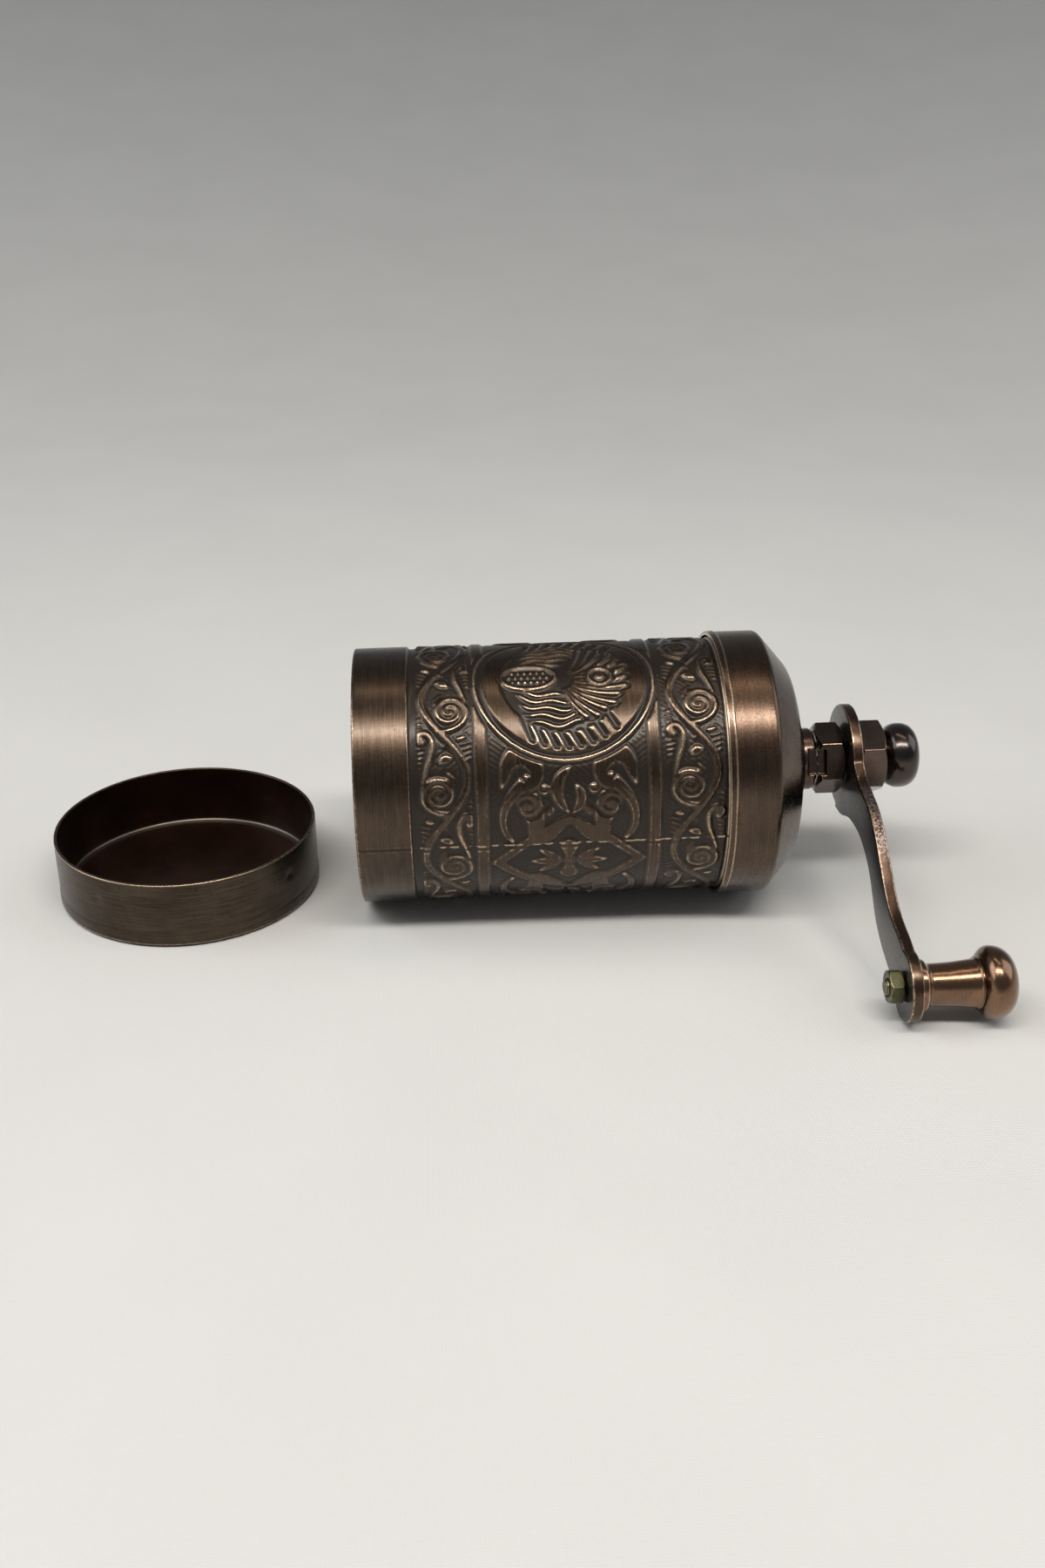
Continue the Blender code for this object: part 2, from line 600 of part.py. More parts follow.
def build_grinding_set(mill):
    """The carrier plate, both burrs, the hopper funnel and the burr's nut."""
    screw_hole = BRIDGE_SCREW_RADIUS + RUNNING_GAP
    drills = [
        cutter(
            "screw_drill_" + side,
            disc("screw_drill", screw_hole, 0, OUTER_BURR_TOP, (0, sign * BRIDGE_SCREW_OFFSET), 20),
            mill,
        )
        for side, sign in (("left", 1), ("right", -1))
    ]

    carrier = place(
        "burr_carrier",
        revolve(
            "burr_carrier",
            [
                (CARRIER_OPENING, CARRIER_BASE),
                (INNER_FIT, CARRIER_BASE),
                (INNER_FIT, CARRIER_BASE + CARRIER_THICKNESS),
                (CARRIER_OPENING, CARRIER_BASE + CARRIER_THICKNESS),
            ],
        ),
        "sheet_steel",
        mill,
        (0, 0, CARRIER_BASE),
    )

    count = BURR_TEETH * 5
    slope = (INNER_BURR_RADIUS - INNER_BURR_TOP_RADIUS) / INNER_BURR_CONE
    land_top = INNER_BURR_BASE + INNER_BURR_LAND

    def outer_bore(height):
        return INNER_BURR_RADIUS + BURR_GAP - slope * (height - land_top)

    mouth_base = OUTER_BURR_TOP - OUTER_BURR_MOUTH_DEPTH
    rings = [
        round_ring(outer_bore(FLANGE_BASE), FLANGE_BASE, count),
        round_ring(BURR_FLANGE_RADIUS, FLANGE_BASE, count),
        round_ring(BURR_FLANGE_RADIUS, FLANGE_BASE + BURR_FLANGE_THICKNESS, count),
        round_ring(OUTER_BURR_RADIUS, FLANGE_BASE + BURR_FLANGE_THICKNESS, count),
        round_ring(OUTER_BURR_RADIUS, OUTER_BURR_TOP, count),
        round_ring(OUTER_BURR_MOUTH + BURR_TOOTH_DEPTH, OUTER_BURR_TOP, count),
    ]
    steps = 4
    for i in range(steps + 1):
        height = mouth_base + (FLANGE_BASE + 0.4 - mouth_base) * i / steps
        share = (height - FLANGE_BASE) / OUTER_BURR_HEIGHT
        rings.append(toothed(outer_bore(height), height, share, BURR_TOOTH_DEPTH, 1, count))
    outer = place("outer_burr", stack("outer_burr", rings), "burr_steel", mill, (0, 0, FLANGE_BASE))
    for drill in drills:
        shape(carrier, drill)
        shape(outer, drill)

    rings = [round_ring(INNER_BURR_RADIUS - 0.6, INNER_BURR_BASE, count)]
    for i in range(steps + 1):
        height = land_top + INNER_BURR_CONE * i / steps
        share = (height - FLANGE_BASE) / OUTER_BURR_HEIGHT
        radius = INNER_BURR_RADIUS - slope * (height - land_top)
        rings.append(toothed(radius, height, share, BURR_TOOTH_DEPTH, -1, count))
    drive = DRIVE_HALF + RUNNING_GAP
    rings += [square_ring(drive, INNER_BURR_TOP, count), square_ring(drive, INNER_BURR_BASE, count)]
    inner = place("inner_burr", stack("inner_burr", rings), "burr_steel", mill, (0, 0, INNER_BURR_BASE))

    lip_base = OUTER_BURR_TOP + REST_GAP
    under = [
        (FUNNEL_LIP, lip_base),
        (OUTER_BURR_RADIUS, lip_base),
        (INNER_FIT, lip_base + FUNNEL_RISE),
        (INNER_FIT, lip_base + FUNNEL_RISE + FUNNEL_COLLAR),
    ]
    upper = [
        (INNER_FIT - FUNNEL_SHEET, lip_base + FUNNEL_RISE + FUNNEL_COLLAR),
        (INNER_FIT - FUNNEL_SHEET, lip_base + FUNNEL_RISE + 0.5 * FUNNEL_SHEET),
        (OUTER_BURR_RADIUS - 0.4 * FUNNEL_SHEET, lip_base + FUNNEL_SHEET),
        (FUNNEL_LIP, lip_base + FUNNEL_SHEET),
    ]
    funnel = revolve("hopper_funnel", under + upper)
    place("hopper_funnel", funnel, "sheet_steel", mill, (0, 0, lip_base))

    nut(
        "burr_nut",
        "sheet_steel",
        mill,
        BURR_NUT_RADIUS,
        BURR_NUT_TOP - BURR_NUT_THICKNESS,
        BURR_NUT_TOP,
        SPINDLE_RADIUS + RUNNING_GAP,
        0.35,
    )
    return drills, inner


def build_lower_bridge(mill, drills):
    """The bridge under the burrs, its two screws and the grind adjuster."""
    half, foot, sheet = BRIDGE_HALF_SPAN, BRIDGE_FOOT, BRIDGE_SHEET
    outline = [
        (-half, STRIP_BASE),
        (half, STRIP_BASE),
        (half, FOOT_BASE),
        (foot, FOOT_BASE),
        (foot, FOOT_TOP),
        (half - sheet, FOOT_TOP),
        (half - sheet, STRIP_TOP),
        (-half + sheet, STRIP_TOP),
        (-half + sheet, FOOT_TOP),
        (-foot, FOOT_TOP),
        (-foot, FOOT_BASE),
        (-half, FOOT_BASE),
    ]
    wide = BRIDGE_WIDTH / 2
    bridge = place(
        "lower_bridge",
        prism("lower_bridge", outline, -wide, wide, "X"),
        "sheet_steel",
        mill,
        (0, 0, STRIP_BASE),
    )
    bore = disc("adjuster_drill", ADJUSTER_RADIUS + RUNNING_GAP, 0, FOOT_TOP, segments=24)
    shape(bridge, cutter("adjuster_drill", bore, mill))
    for drill in drills:
        shape(bridge, drill)

    head_top = FOOT_BASE - REST_GAP
    head = [
        (0, head_top - BRIDGE_SCREW_HEAD_HEIGHT),
        (BRIDGE_SCREW_HEAD * 0.7, head_top - BRIDGE_SCREW_HEAD_HEIGHT),
        (BRIDGE_SCREW_HEAD, head_top - BRIDGE_SCREW_HEAD_HEIGHT * 0.5),
        (BRIDGE_SCREW_HEAD, head_top),
        (BRIDGE_SCREW_RADIUS, head_top),
        (BRIDGE_SCREW_RADIUS, FLANGE_BASE + BURR_FLANGE_THICKNESS - 0.2),
        (0, FLANGE_BASE + BURR_FLANGE_THICKNESS - 0.2),
    ]
    for side, sign in (("left", 1), ("right", -1)):
        seat = empty("bridge_screw_seat_" + side, (0, sign * BRIDGE_SCREW_OFFSET, 0), parent=mill)
        screw = place(
            "bridge_screw_" + side,
            revolve("bridge_screw", head, 20),
            "sheet_steel",
            seat,
            (0, 0, head_top),
        )
        low = head_top - BRIDGE_SCREW_HEAD_HEIGHT
        slot = box("slot", (-0.35, -5, low - 1), (0.35, 5, low + 0.6))
        shape(screw, cutter("screw_slot_" + side, slot, seat))

    low = LOCK_NUT_TOP - LOCK_NUT_THICKNESS
    bore_radius = ADJUSTER_RADIUS + RUNNING_GAP
    nut("adjuster_lock_nut", "brass", mill, LOCK_NUT_RADIUS, low, LOCK_NUT_TOP, bore_radius, 0.4)

    head_base = ADJUSTER_HEAD_TOP - ADJUSTER_HEAD_THICKNESS
    count = ADJUSTER_HEAD_NOTCHES * 4
    rings = []
    for height in (head_base, ADJUSTER_HEAD_TOP):
        ring = []
        for i in range(count):
            a = 2 * math.pi * i / count
            r = ADJUSTER_HEAD_RADIUS - (0.45 if i % 4 in (0, 1) else 0.0)
            ring.append((r * math.cos(a), r * math.sin(a), height))
        rings.append(ring)
    rings += [
        round_ring(ADJUSTER_RADIUS, ADJUSTER_HEAD_TOP, count),
        round_ring(ADJUSTER_RADIUS, ADJUSTER_TOP - 0.4, count),
        round_ring(ADJUSTER_RADIUS - 0.4, ADJUSTER_TOP, count),
        round_ring(0.9, ADJUSTER_TOP, count),
        round_ring(0.3, ADJUSTER_TOP - 0.6, count),
    ]
    points = [p for ring in rings for p in ring]
    faces = [tuple(range(count)), tuple((len(rings) - 1) * count + i for i in range(count))]
    for k in range(len(rings) - 1):
        for i in range(count):
            j = (i + 1) % count
            a, b = k * count, (k + 1) * count
            faces.append((a + i, a + j, b + j, b + i))
    screw = place(
        "adjusting_screw",
        mesh_of("adjusting_screw", points, faces),
        "brass",
        mill,
        (0, 0, head_base),
    )
    reach = ADJUSTER_HEAD_RADIUS + 1
    wide = ADJUSTER_SLOT / 2
    slot = box("adjuster_slot", (-wide, -reach, head_base - 1), (wide, reach, head_base + 0.8))
    shape(screw, cutter("adjuster_slot", slot, mill))


def build_upper_bridge(mill):
    """The bridge across the top of the body, with its bushing and rivets."""
    base, sheet = TOP_BRIDGE_HEIGHT, TOP_BRIDGE_SHEET
    reach, inside = BODY_RADIUS + 1, INNER_FIT - TOP_BRIDGE_SHEET
    outline = [
        (-reach, base),
        (reach, base),
        (reach, base + TOP_BRIDGE_TAB),
        (inside, base + TOP_BRIDGE_TAB),
        (inside, base + sheet),
        (-inside, base + sheet),
        (-inside, base + TOP_BRIDGE_TAB),
        (-reach, base + TOP_BRIDGE_TAB),
    ]
    wide = TOP_BRIDGE_WIDTH / 2
    bridge = place(
        "upper_bridge",
        prism("upper_bridge", outline, -wide, wide, "X"),
        "sheet_steel",
        mill,
        (0, 0, base),
    )
    bore = disc("bore_trim", INNER_FIT, base - 2, base + TOP_BRIDGE_TAB + 2, segments=SEGMENTS)
    shape(bridge, cutter("bore_trim", bore, mill), "INTERSECT")
    hole = TOP_BUSHING_RADIUS + REST_GAP
    drill = disc("bushing_drill", hole, base - 2, base + sheet + 2, segments=24)
    shape(bridge, cutter("bushing_drill", drill, mill))
    shape(bridge, bpy.data.objects["rivet_drill"])

    bore = SPINDLE_RADIUS + RUNNING_GAP
    top = base + sheet + TOP_BUSHING_RISE
    flanged = [
        (bore, BUSHING_BASE),
        (TOP_BUSHING_FLANGE, BUSHING_BASE),
        (TOP_BUSHING_FLANGE, BUSHING_FLANGE_TOP),
        (TOP_BUSHING_RADIUS, BUSHING_FLANGE_TOP),
        (TOP_BUSHING_RADIUS, top),
        (bore, top),
    ]
    place("bridge_bushing", revolve("bridge_bushing", flanged, 32), "brass", mill, (0, 0, base))

    head = inside - REST_GAP
    rivet = [
        (0, head - RIVET_HEAD_HEIGHT),
        (RIVET_HEAD_RADIUS * 0.6, head - RIVET_HEAD_HEIGHT * 0.9),
        (RIVET_HEAD_RADIUS, head - RIVET_HEAD_HEIGHT * 0.3),
        (RIVET_HEAD_RADIUS, head),
        (RIVET_RADIUS, head),
        (RIVET_RADIUS, BODY_RADIUS - 0.1),
        (0, BODY_RADIUS - 0.1),
    ]
    for side, sign in (("left", 1), ("right", -1)):
        seat = empty(
            "rivet_seat_" + side,
            (0, 0, base + RIVET_HEIGHT),
            (math.radians(-90 * sign), 0, 0),
            mill,
        )
        place("bridge_rivet_" + side, revolve("bridge_rivet", rivet, 20), "sheet_steel", seat)


def build_spindle(mill):
    """The spindle with its clip, the spring washer and the spring."""
    tip = [
        (0, SPINDLE_TIP),
        (SPINDLE_TIP_RADIUS, SPINDLE_TIP),
        (SPINDLE_RADIUS, SPINDLE_TIP + 0.8),
        (SPINDLE_RADIUS, SHOULDER_BASE),
        (SHOULDER_RADIUS, SHOULDER_BASE),
        (SHOULDER_RADIUS, SHOULDER_BASE + SHOULDER_THICKNESS),
        (SPINDLE_RADIUS, SHOULDER_BASE + SHOULDER_THICKNESS),
        (SPINDLE_RADIUS, CLIP_HEIGHT),
        (CLIP_SEAT_RADIUS, CLIP_HEIGHT),
        (CLIP_SEAT_RADIUS, CLIP_HEIGHT + CLIP_GROOVE),
        (SPINDLE_RADIUS, CLIP_HEIGHT + CLIP_GROOVE),
        (SPINDLE_RADIUS, FINIAL_BASE),
        (SPINDLE_THREAD_RADIUS, FINIAL_BASE + 0.2),
        (SPINDLE_THREAD_RADIUS, SPINDLE_TOP - 0.5),
        (SPINDLE_THREAD_RADIUS - 0.5, SPINDLE_TOP),
        (0, SPINDLE_TOP),
    ]
    spindle = place("spindle", revolve("spindle", tip, FINE_SEGMENTS), "spring_steel", mill)
    half = DRIVE_HALF
    drive = box(
        "drive_square",
        (-half, -half, INNER_BURR_BASE - 0.1),
        (half, half, SHOULDER_BASE + SHOULDER_THICKNESS / 2),
    )
    shape(spindle, cutter("drive_square", drive, mill), "UNION")
    crank = bpy.data.objects["crank_turn"]
    for side, sign in (("front", 1), ("back", -1)):
        edge = sorted((sign * SPINDLE_FLAT, sign * (SPINDLE_RADIUS + 1)))
        flat = box(
            "spindle_flat", (-5, edge[0], HUB_TOP - 0.6), (5, edge[1], SPINDLE_TOP + 1)
        )
        shape(spindle, cutter("spindle_flat_" + side, flat, crank))

    steps = 32
    start = math.radians(CLIP_OPENING / 2)
    sweep = 2 * math.pi - 2 * start
    inner_radius = CLIP_SEAT_RADIUS + RUNNING_GAP
    angles = [start + sweep * i / steps for i in range(steps + 1)]
    outline = [(CLIP_RADIUS * math.cos(a), CLIP_RADIUS * math.sin(a)) for a in angles]
    outline += [(inner_radius * math.cos(a), inner_radius * math.sin(a)) for a in angles[::-1]]
    clip = prism("spring_clip", outline, CLIP_BASE, CLIP_BASE + CLIP_THICKNESS)
    place("spring_clip", clip, "spring_steel", mill, (0, 0, CLIP_BASE))

    bore = SPINDLE_RADIUS + RUNNING_GAP
    washer = [
        (bore, WASHER_BASE),
        (WASHER_RADIUS, WASHER_BASE),
        (WASHER_RADIUS, WASHER_BASE + WASHER_THICKNESS),
        (bore, WASHER_BASE + WASHER_THICKNESS),
    ]
    place("spring_washer", revolve("spring_washer", washer, 32), "sheet_steel", mill, (0, 0, WASHER_BASE))

    low, high = SPRING_BASE + SPRING_WIRE, SPRING_TOP - SPRING_WIRE
    around, along = 6, 14 * SPRING_TURNS
    points, faces = [], []
    climb = math.atan2(high - low, 2 * math.pi * SPRING_TURNS * SPRING_COIL)
    for i in range(along + 1):
        share = i / along
        a = 2 * math.pi * SPRING_TURNS * share
        out = Vector((math.cos(a), math.sin(a), 0))
        ahead = Vector((-math.sin(a) * math.cos(climb), math.cos(a) * math.cos(climb), math.sin(climb)))
        side = out.cross(ahead)
        middle = out * SPRING_COIL + Vector((0, 0, low + (high - low) * share))
        for k in range(around):
            b = 2 * math.pi * k / around
            points.append(middle + (out * math.cos(b) + side * math.sin(b)) * SPRING_WIRE)
    for i in range(along):
        for k in range(around):
            j = (k + 1) % around
            a, b = i * around, (i + 1) * around
            faces.append((a + k, a + j, b + j, b + k))
    faces.append(tuple(range(around)))
    faces.append(tuple(along * around + k for k in range(around)))
    place("pressure_spring", mesh_of("pressure_spring", points, faces), "spring_steel", mill, (0, 0, SPRING_BASE))


def arm_outline():
    """The arm's flat outline: a round head, a bowed blade and a round end."""
    upper, lower = [], []
    first, last = -ARM_HEAD_RADIUS, ARM_LENGTH + ARM_END_RADIUS
    steps = 72
    for i in range(1, steps):
        # samples crowd towards both ends, where the outline is round
        share = 0.5 - 0.5 * math.cos(math.pi * i / steps)
        u = first + (last - first) * share
        tops, bottoms = [], []
        for centre, radius in ((0.0, ARM_HEAD_RADIUS), (ARM_LENGTH, ARM_END_RADIUS)):
            if abs(u - centre) < radius:
                reach = math.sqrt(radius**2 - (u - centre) ** 2)
                tops.append(reach)
                bottoms.append(-reach)
        at = u / ARM_LENGTH
        if ARM_STATIONS[0][0] <= at <= 1.0:
            bow, half = smooth(ARM_STATIONS, at)
            tops.append(half - bow)
            bottoms.append(-half - bow)
        upper.append((u, max(tops)))
        lower.append((u, min(bottoms)))
    return [(first, 0.0)] + lower + [(last, 0.0)] + upper[::-1]


def build_crank(crank):
    """The hub nut, the arm and the finial nut, all on the spindle's end."""
    hub_bore = SPINDLE_RADIUS + RUNNING_GAP
    hub = nut(
        "hub_nut",
        "dark_bronze",
        crank,
        HUB_NUT_RADIUS,
        HUB_BASE,
        HUB_TOP,
        hub_bore,
        HUB_NUT_CHAMFER,
        HUB_PHASE,
    )
    flat = HUB_NUT_RADIUS * math.cos(math.pi / 6)
    notch = box(
        "key_notch",
        (flat - NOTCH_DEPTH, -NOTCH_WIDTH / 2, COLLAR_TOP - NOTCH_LENGTH),
        (HUB_NUT_RADIUS + 1, NOTCH_WIDTH / 2, HUB_BASE + NOTCH_LENGTH),
    )
    notch = cutter("key_notch", notch, crank)
    notch.rotation_euler = (0, 0, math.radians(HUB_PHASE - 30))
    shape(hub, notch)
    shape(bpy.data.objects["cover_collar"], notch)

    arm = place(
        "crank_arm",
        prism("crank_arm", arm_outline(), ARM_BASE, ARM_TOP),
        "dark_bronze",
        crank,
        (0, 0, ARM_BASE),
    )
    edge = arm.modifiers.new("Edge round", "BEVEL")
    edge.width = ARM_EDGE_ROUND * MM
    edge.segments = 1
    edge.limit_method = "ANGLE"
    edge.angle_limit = math.radians(60)
    round_bore = SPINDLE_RADIUS + RUNNING_GAP
    half = SPINDLE_FLAT + RUNNING_GAP
    reach = math.sqrt(round_bore**2 - half**2)
    corner = math.degrees(math.atan2(half, reach))
    hole = arc((0, 0), round_bore, -corner, corner, 8)
    hole += arc((0, 0), round_bore, 180 - corner, 180 + corner, 8)
    drive = prism("arm_drive", hole, ARM_BASE - 1, ARM_TOP + 1)
    shape(arm, cutter("arm_drive", drive, crank))
    bolt = disc(
        "knob_drill", KNOB_BOLT_RADIUS + RUNNING_GAP, ARM_BASE - 1, ARM_TOP + 1, (ARM_LENGTH, 0), 24
    )
    shape(arm, cutter("knob_drill", bolt, crank))

    finial = nut(
        "finial_nut",
        "dark_bronze",
        crank,
        FINIAL_HEX_RADIUS,
        FINIAL_BASE,
        FINIAL_HEX_TOP,
        0,
        FINIAL_HEX_CHAMFER,
        FINIAL_PHASE,
    )
    neck_top = FINIAL_HEX_TOP + FINIAL_NECK_LENGTH
    ball_middle = (neck_top + FINIAL_TOP) / 2
    half_length = (FINIAL_TOP - neck_top) / 2
    ball = [(0, FINIAL_HEX_TOP - 1), (FINIAL_NECK_RADIUS, FINIAL_HEX_TOP - 1)]
    ball.append((FINIAL_NECK_RADIUS, neck_top))
    for d in range(-48, 90, 17):
        # a barrel-like ball: rounder than a disc, flatter than a sphere
        c, s = math.cos(math.radians(d)), math.sin(math.radians(d))
        ball.append((FINIAL_BALL_RADIUS * c**0.72, ball_middle + half_length * math.copysign(abs(s) ** 0.9, s)))
    ball.append((0, FINIAL_TOP))
    shape(finial, cutter("finial_ball", revolve("finial_ball", ball, FINE_SEGMENTS), crank), "UNION")
    thread = SPINDLE_THREAD_RADIUS + RUNNING_GAP
    bore = disc("finial_bore", thread, FINIAL_BASE - 1, FINIAL_BASE + FINIAL_BORE_DEPTH, segments=28)
    shape(finial, cutter("finial_bore", bore, crank))


def build_knob(hinge):
    """The turning knob on its bolt, with the bolt's nut behind the arm."""
    bore = KNOB_BOLT_RADIUS + RUNNING_GAP
    widest = KNOB_WIDEST
    pocket_base = KNOB_TOP - KNOB_BOLT_HEAD_HEIGHT - 0.4
    pocket = KNOB_BOLT_HEAD_RADIUS + RUNNING_GAP
    outline = [
        (bore, KNOB_BASE),
        (KNOB_FLANGE_RADIUS - 0.2, KNOB_BASE),
        (KNOB_FLANGE_RADIUS, KNOB_BASE + 0.3),
        (KNOB_FLANGE_RADIUS, KNOB_BASE + 0.9),
        (KNOB_GRIP_RADIUS, KNOB_BASE + 1.3),
        (KNOB_GRIP_RADIUS + 0.1, KNOB_BASE + KNOB_GRIP_LENGTH * 0.6),
        (KNOB_GRIP_TOP_RADIUS, KNOB_HEAD_BASE - 0.3),
        (KNOB_GRIP_TOP_RADIUS + 0.5, KNOB_HEAD_BASE),
    ]
    lower, upper = widest - KNOB_HEAD_BASE, KNOB_TOP - widest
    for d in (-58, -36, -15, 4, 22, 40, 56):
        c, s = math.cos(math.radians(d)), math.sin(math.radians(d))
        rise = (lower if s < 0 else upper) * s
        outline.append((KNOB_HEAD_RADIUS * c**0.8, widest + rise))
    outline += [
        (pocket + 0.7, KNOB_TOP - 0.25),
        (pocket, KNOB_TOP - 0.1),
        (pocket, pocket_base),
        (bore, pocket_base),
    ]
    place("knob", revolve("knob", outline, FINE_SEGMENTS), "bright_copper", hinge, (0, 0, KNOB_BASE))

    head_base = pocket_base + REST_GAP
    end = ARM_BASE - REST_GAP - KNOB_NUT_THICKNESS - KNOB_BOLT_END
    bolt = [
        (0, end),
        (KNOB_BOLT_RADIUS - 0.3, end),
        (KNOB_BOLT_RADIUS, end + 0.3),
        (KNOB_BOLT_RADIUS, head_base),
        (KNOB_BOLT_HEAD_RADIUS, head_base),
        (KNOB_BOLT_HEAD_RADIUS, head_base + KNOB_BOLT_HEAD_HEIGHT * 0.55),
        (KNOB_BOLT_HEAD_RADIUS * 0.6, head_base + KNOB_BOLT_HEAD_HEIGHT * 0.9),
        (0, head_base + KNOB_BOLT_HEAD_HEIGHT),
    ]
    place("knob_bolt", revolve("knob_bolt", bolt, 24), "zinc_plate", hinge, (0, 0, end))
    top = ARM_BASE - REST_GAP
    low = top - KNOB_NUT_THICKNESS
    nut("knob_nut", "zinc_plate", hinge, KNOB_NUT_RADIUS, low, top, KNOB_BOLT_RADIUS + RUNNING_GAP, 0.3, 10)


def build_cap(stand):
    """The push-on bottom cap, open side up on the table."""
    inner = BODY_RADIUS + SLIP_FIT
    outer = inner + CAP_WALL
    band = outer + CAP_BAND_STEP
    profile = [
        (0, 0),
        (band - 0.7, 0),
        (band - 0.2, 0.2),
        (band, 0.7),
        (band, CAP_BAND_HEIGHT),
        (outer, CAP_BAND_HEIGHT + 0.15),
        (outer, CAP_HEIGHT - 0.2),
        (outer - 0.2, CAP_HEIGHT),
        (inner, CAP_HEIGHT),
        (inner, CAP_FLOOR + 0.6),
        (inner - 0.6, CAP_FLOOR),
        (0, CAP_FLOOR),
    ]
    place("bottom_cap", revolve("bottom_cap", profile), "aged_copper", stand)


def main():
    clear_scene()
    scene = bpy.context.scene
    scene.unit_settings.system = "METRIC"
    scene.unit_settings.length_unit = "MILLIMETERS"

    # The part's origin is the middle of the whole group's footprint.
    along, up = math.cos(LIE_TILT), math.sin(LIE_TILT)
    x_low = CAP_X - CAP_RADIUS
    knob_height = CRANK_DROP * up
    x_high = KNOB_TOP * along + knob_height
    y_low = -ARM_LENGTH * math.cos(CRANK_ANGLE) - max(KNOB_HEAD_RADIUS, ARM_END_RADIUS)
    y_high = max(CAP_Y + CAP_RADIUS, COVER_RADIUS + COVER_BEAD)
    shift = Vector((-(x_low + x_high) / 2, -(y_low + y_high) / 2, 0))

    mill = empty(
        "mill_axis",
        shift + Vector((0, 0, BODY_RADIUS * along)),
        (0, math.pi / 2 - LIE_TILT, 0),
    )
    crank = empty("crank_turn", (0, 0, 0), (0, 0, CRANK_ANGLE - math.pi / 2), mill)
    hinge = empty("knob_turn", (ARM_LENGTH, 0, 0), parent=crank)
    stand = empty("cap_stand", shift + Vector((CAP_X, CAP_Y, 0)))

    build_body(mill)
    build_cover(mill)
    drills, _ = build_grinding_set(mill)
    build_lower_bridge(mill, drills)
    build_upper_bridge(mill)
    build_spindle(mill)
    build_crank(crank)
    build_knob(hinge)
    build_cap(stand)
    bpy.context.view_layer.update()


if __name__ == "__main__":
    main()
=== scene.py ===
"""Looks of the hand crank coffee mill: an embossed, aged copper tube on its side,
with its cover, crank and knob on the right and its cap beside it on the left.

Every piece is modelled in millimetres in the frame of what it turns about, and
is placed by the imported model: the mill by the spindle's axis, the crank and the
knob by the knob's axis, the cap by its own box.
"""

import json
import math

import bmesh
import bpy
import numpy as np
from bpy.props import (
    FloatProperty,
    FloatVectorProperty,
    IntProperty,
    PointerProperty,
)
from mathutils import Matrix, Vector
from mathutils.geometry import delaunay_2d_cdt


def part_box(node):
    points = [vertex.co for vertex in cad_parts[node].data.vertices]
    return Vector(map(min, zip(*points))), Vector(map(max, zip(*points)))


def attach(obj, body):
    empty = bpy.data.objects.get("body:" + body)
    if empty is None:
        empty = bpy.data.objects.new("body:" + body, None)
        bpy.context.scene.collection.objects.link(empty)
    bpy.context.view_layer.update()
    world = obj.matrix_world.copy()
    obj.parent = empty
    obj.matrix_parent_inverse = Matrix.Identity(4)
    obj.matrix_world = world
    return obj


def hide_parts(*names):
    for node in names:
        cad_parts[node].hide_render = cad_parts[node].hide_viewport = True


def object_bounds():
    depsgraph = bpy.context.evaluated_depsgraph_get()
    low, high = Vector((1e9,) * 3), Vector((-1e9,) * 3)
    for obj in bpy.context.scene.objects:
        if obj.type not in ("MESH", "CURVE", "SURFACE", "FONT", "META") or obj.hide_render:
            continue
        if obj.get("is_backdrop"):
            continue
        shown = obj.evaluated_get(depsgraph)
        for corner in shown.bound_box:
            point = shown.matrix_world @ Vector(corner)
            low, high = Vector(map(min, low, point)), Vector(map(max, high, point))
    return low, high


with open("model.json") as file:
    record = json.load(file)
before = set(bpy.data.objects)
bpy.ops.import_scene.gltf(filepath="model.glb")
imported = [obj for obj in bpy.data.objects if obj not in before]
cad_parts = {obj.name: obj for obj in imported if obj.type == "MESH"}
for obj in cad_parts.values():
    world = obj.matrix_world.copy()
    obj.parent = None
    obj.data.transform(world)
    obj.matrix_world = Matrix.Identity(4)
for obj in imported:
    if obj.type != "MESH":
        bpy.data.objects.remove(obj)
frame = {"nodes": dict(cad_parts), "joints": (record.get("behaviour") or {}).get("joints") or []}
CAD_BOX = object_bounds()

bl_info = {
    "name": "Hand Crank Coffee Mill",
    "version": (1, 0, 0),
    "blender": (4, 5, 0),
    "location": "View3D > Sidebar > Coffee Mill",
    "description": "Builds the looks of an embossed copper coffee mill over its packed model",
    "category": "Add Mesh",
}

MM = 0.001
TAU = 2 * math.pi

# Angles are about the mill's Z, from its X, which points down.
FAR_SIDE = math.pi / 2
# Where the rivets of the upper bridge come through the tube, in mm.
RIVET_HEIGHT = 69.5
# The corners of the three hexagons, from the arm's direction.
HUB_NUT_TURN = math.radians(-8)
FINIAL_TURN = math.radians(5.5)
KNOB_NUT_TURN = math.radians(10)
# The key notch lies in the middle of one of the hub nut's faces.
KEY_TURN = HUB_NUT_TURN - TAU / 12
KEY_HALF_WIDTH, KEY_REACH, KEY_DEPTH = 2.5, 1.65, 1.35


# ---------------------------------------------------------------- placing

def joint(name):
    return next(j for j in frame["joints"] if j["name"] == name)


def mill_place():
    """The mill's own frame: Z runs up from the open rim, X points down, Y away."""
    spin = joint("crank_spin")
    up = Vector(spin["axis"]).normalized()
    away = (Vector((0, 1, 0)) - up * up.y).normalized()
    turn = Matrix((away.cross(up), away, up)).transposed().to_4x4()
    return Matrix.Translation(Vector(spin["pos_m"])) @ turn


def crank_place():
    """The crank's frame: the mill's, turned until X points at the knob's axis."""
    knob = MILL.inverted() @ Vector(joint("knob_spin")["pos_m"])
    turn = Matrix.Rotation(math.atan2(knob.y, knob.x), 4, "Z")
    return MILL @ turn, math.hypot(knob.x, knob.y) / MM


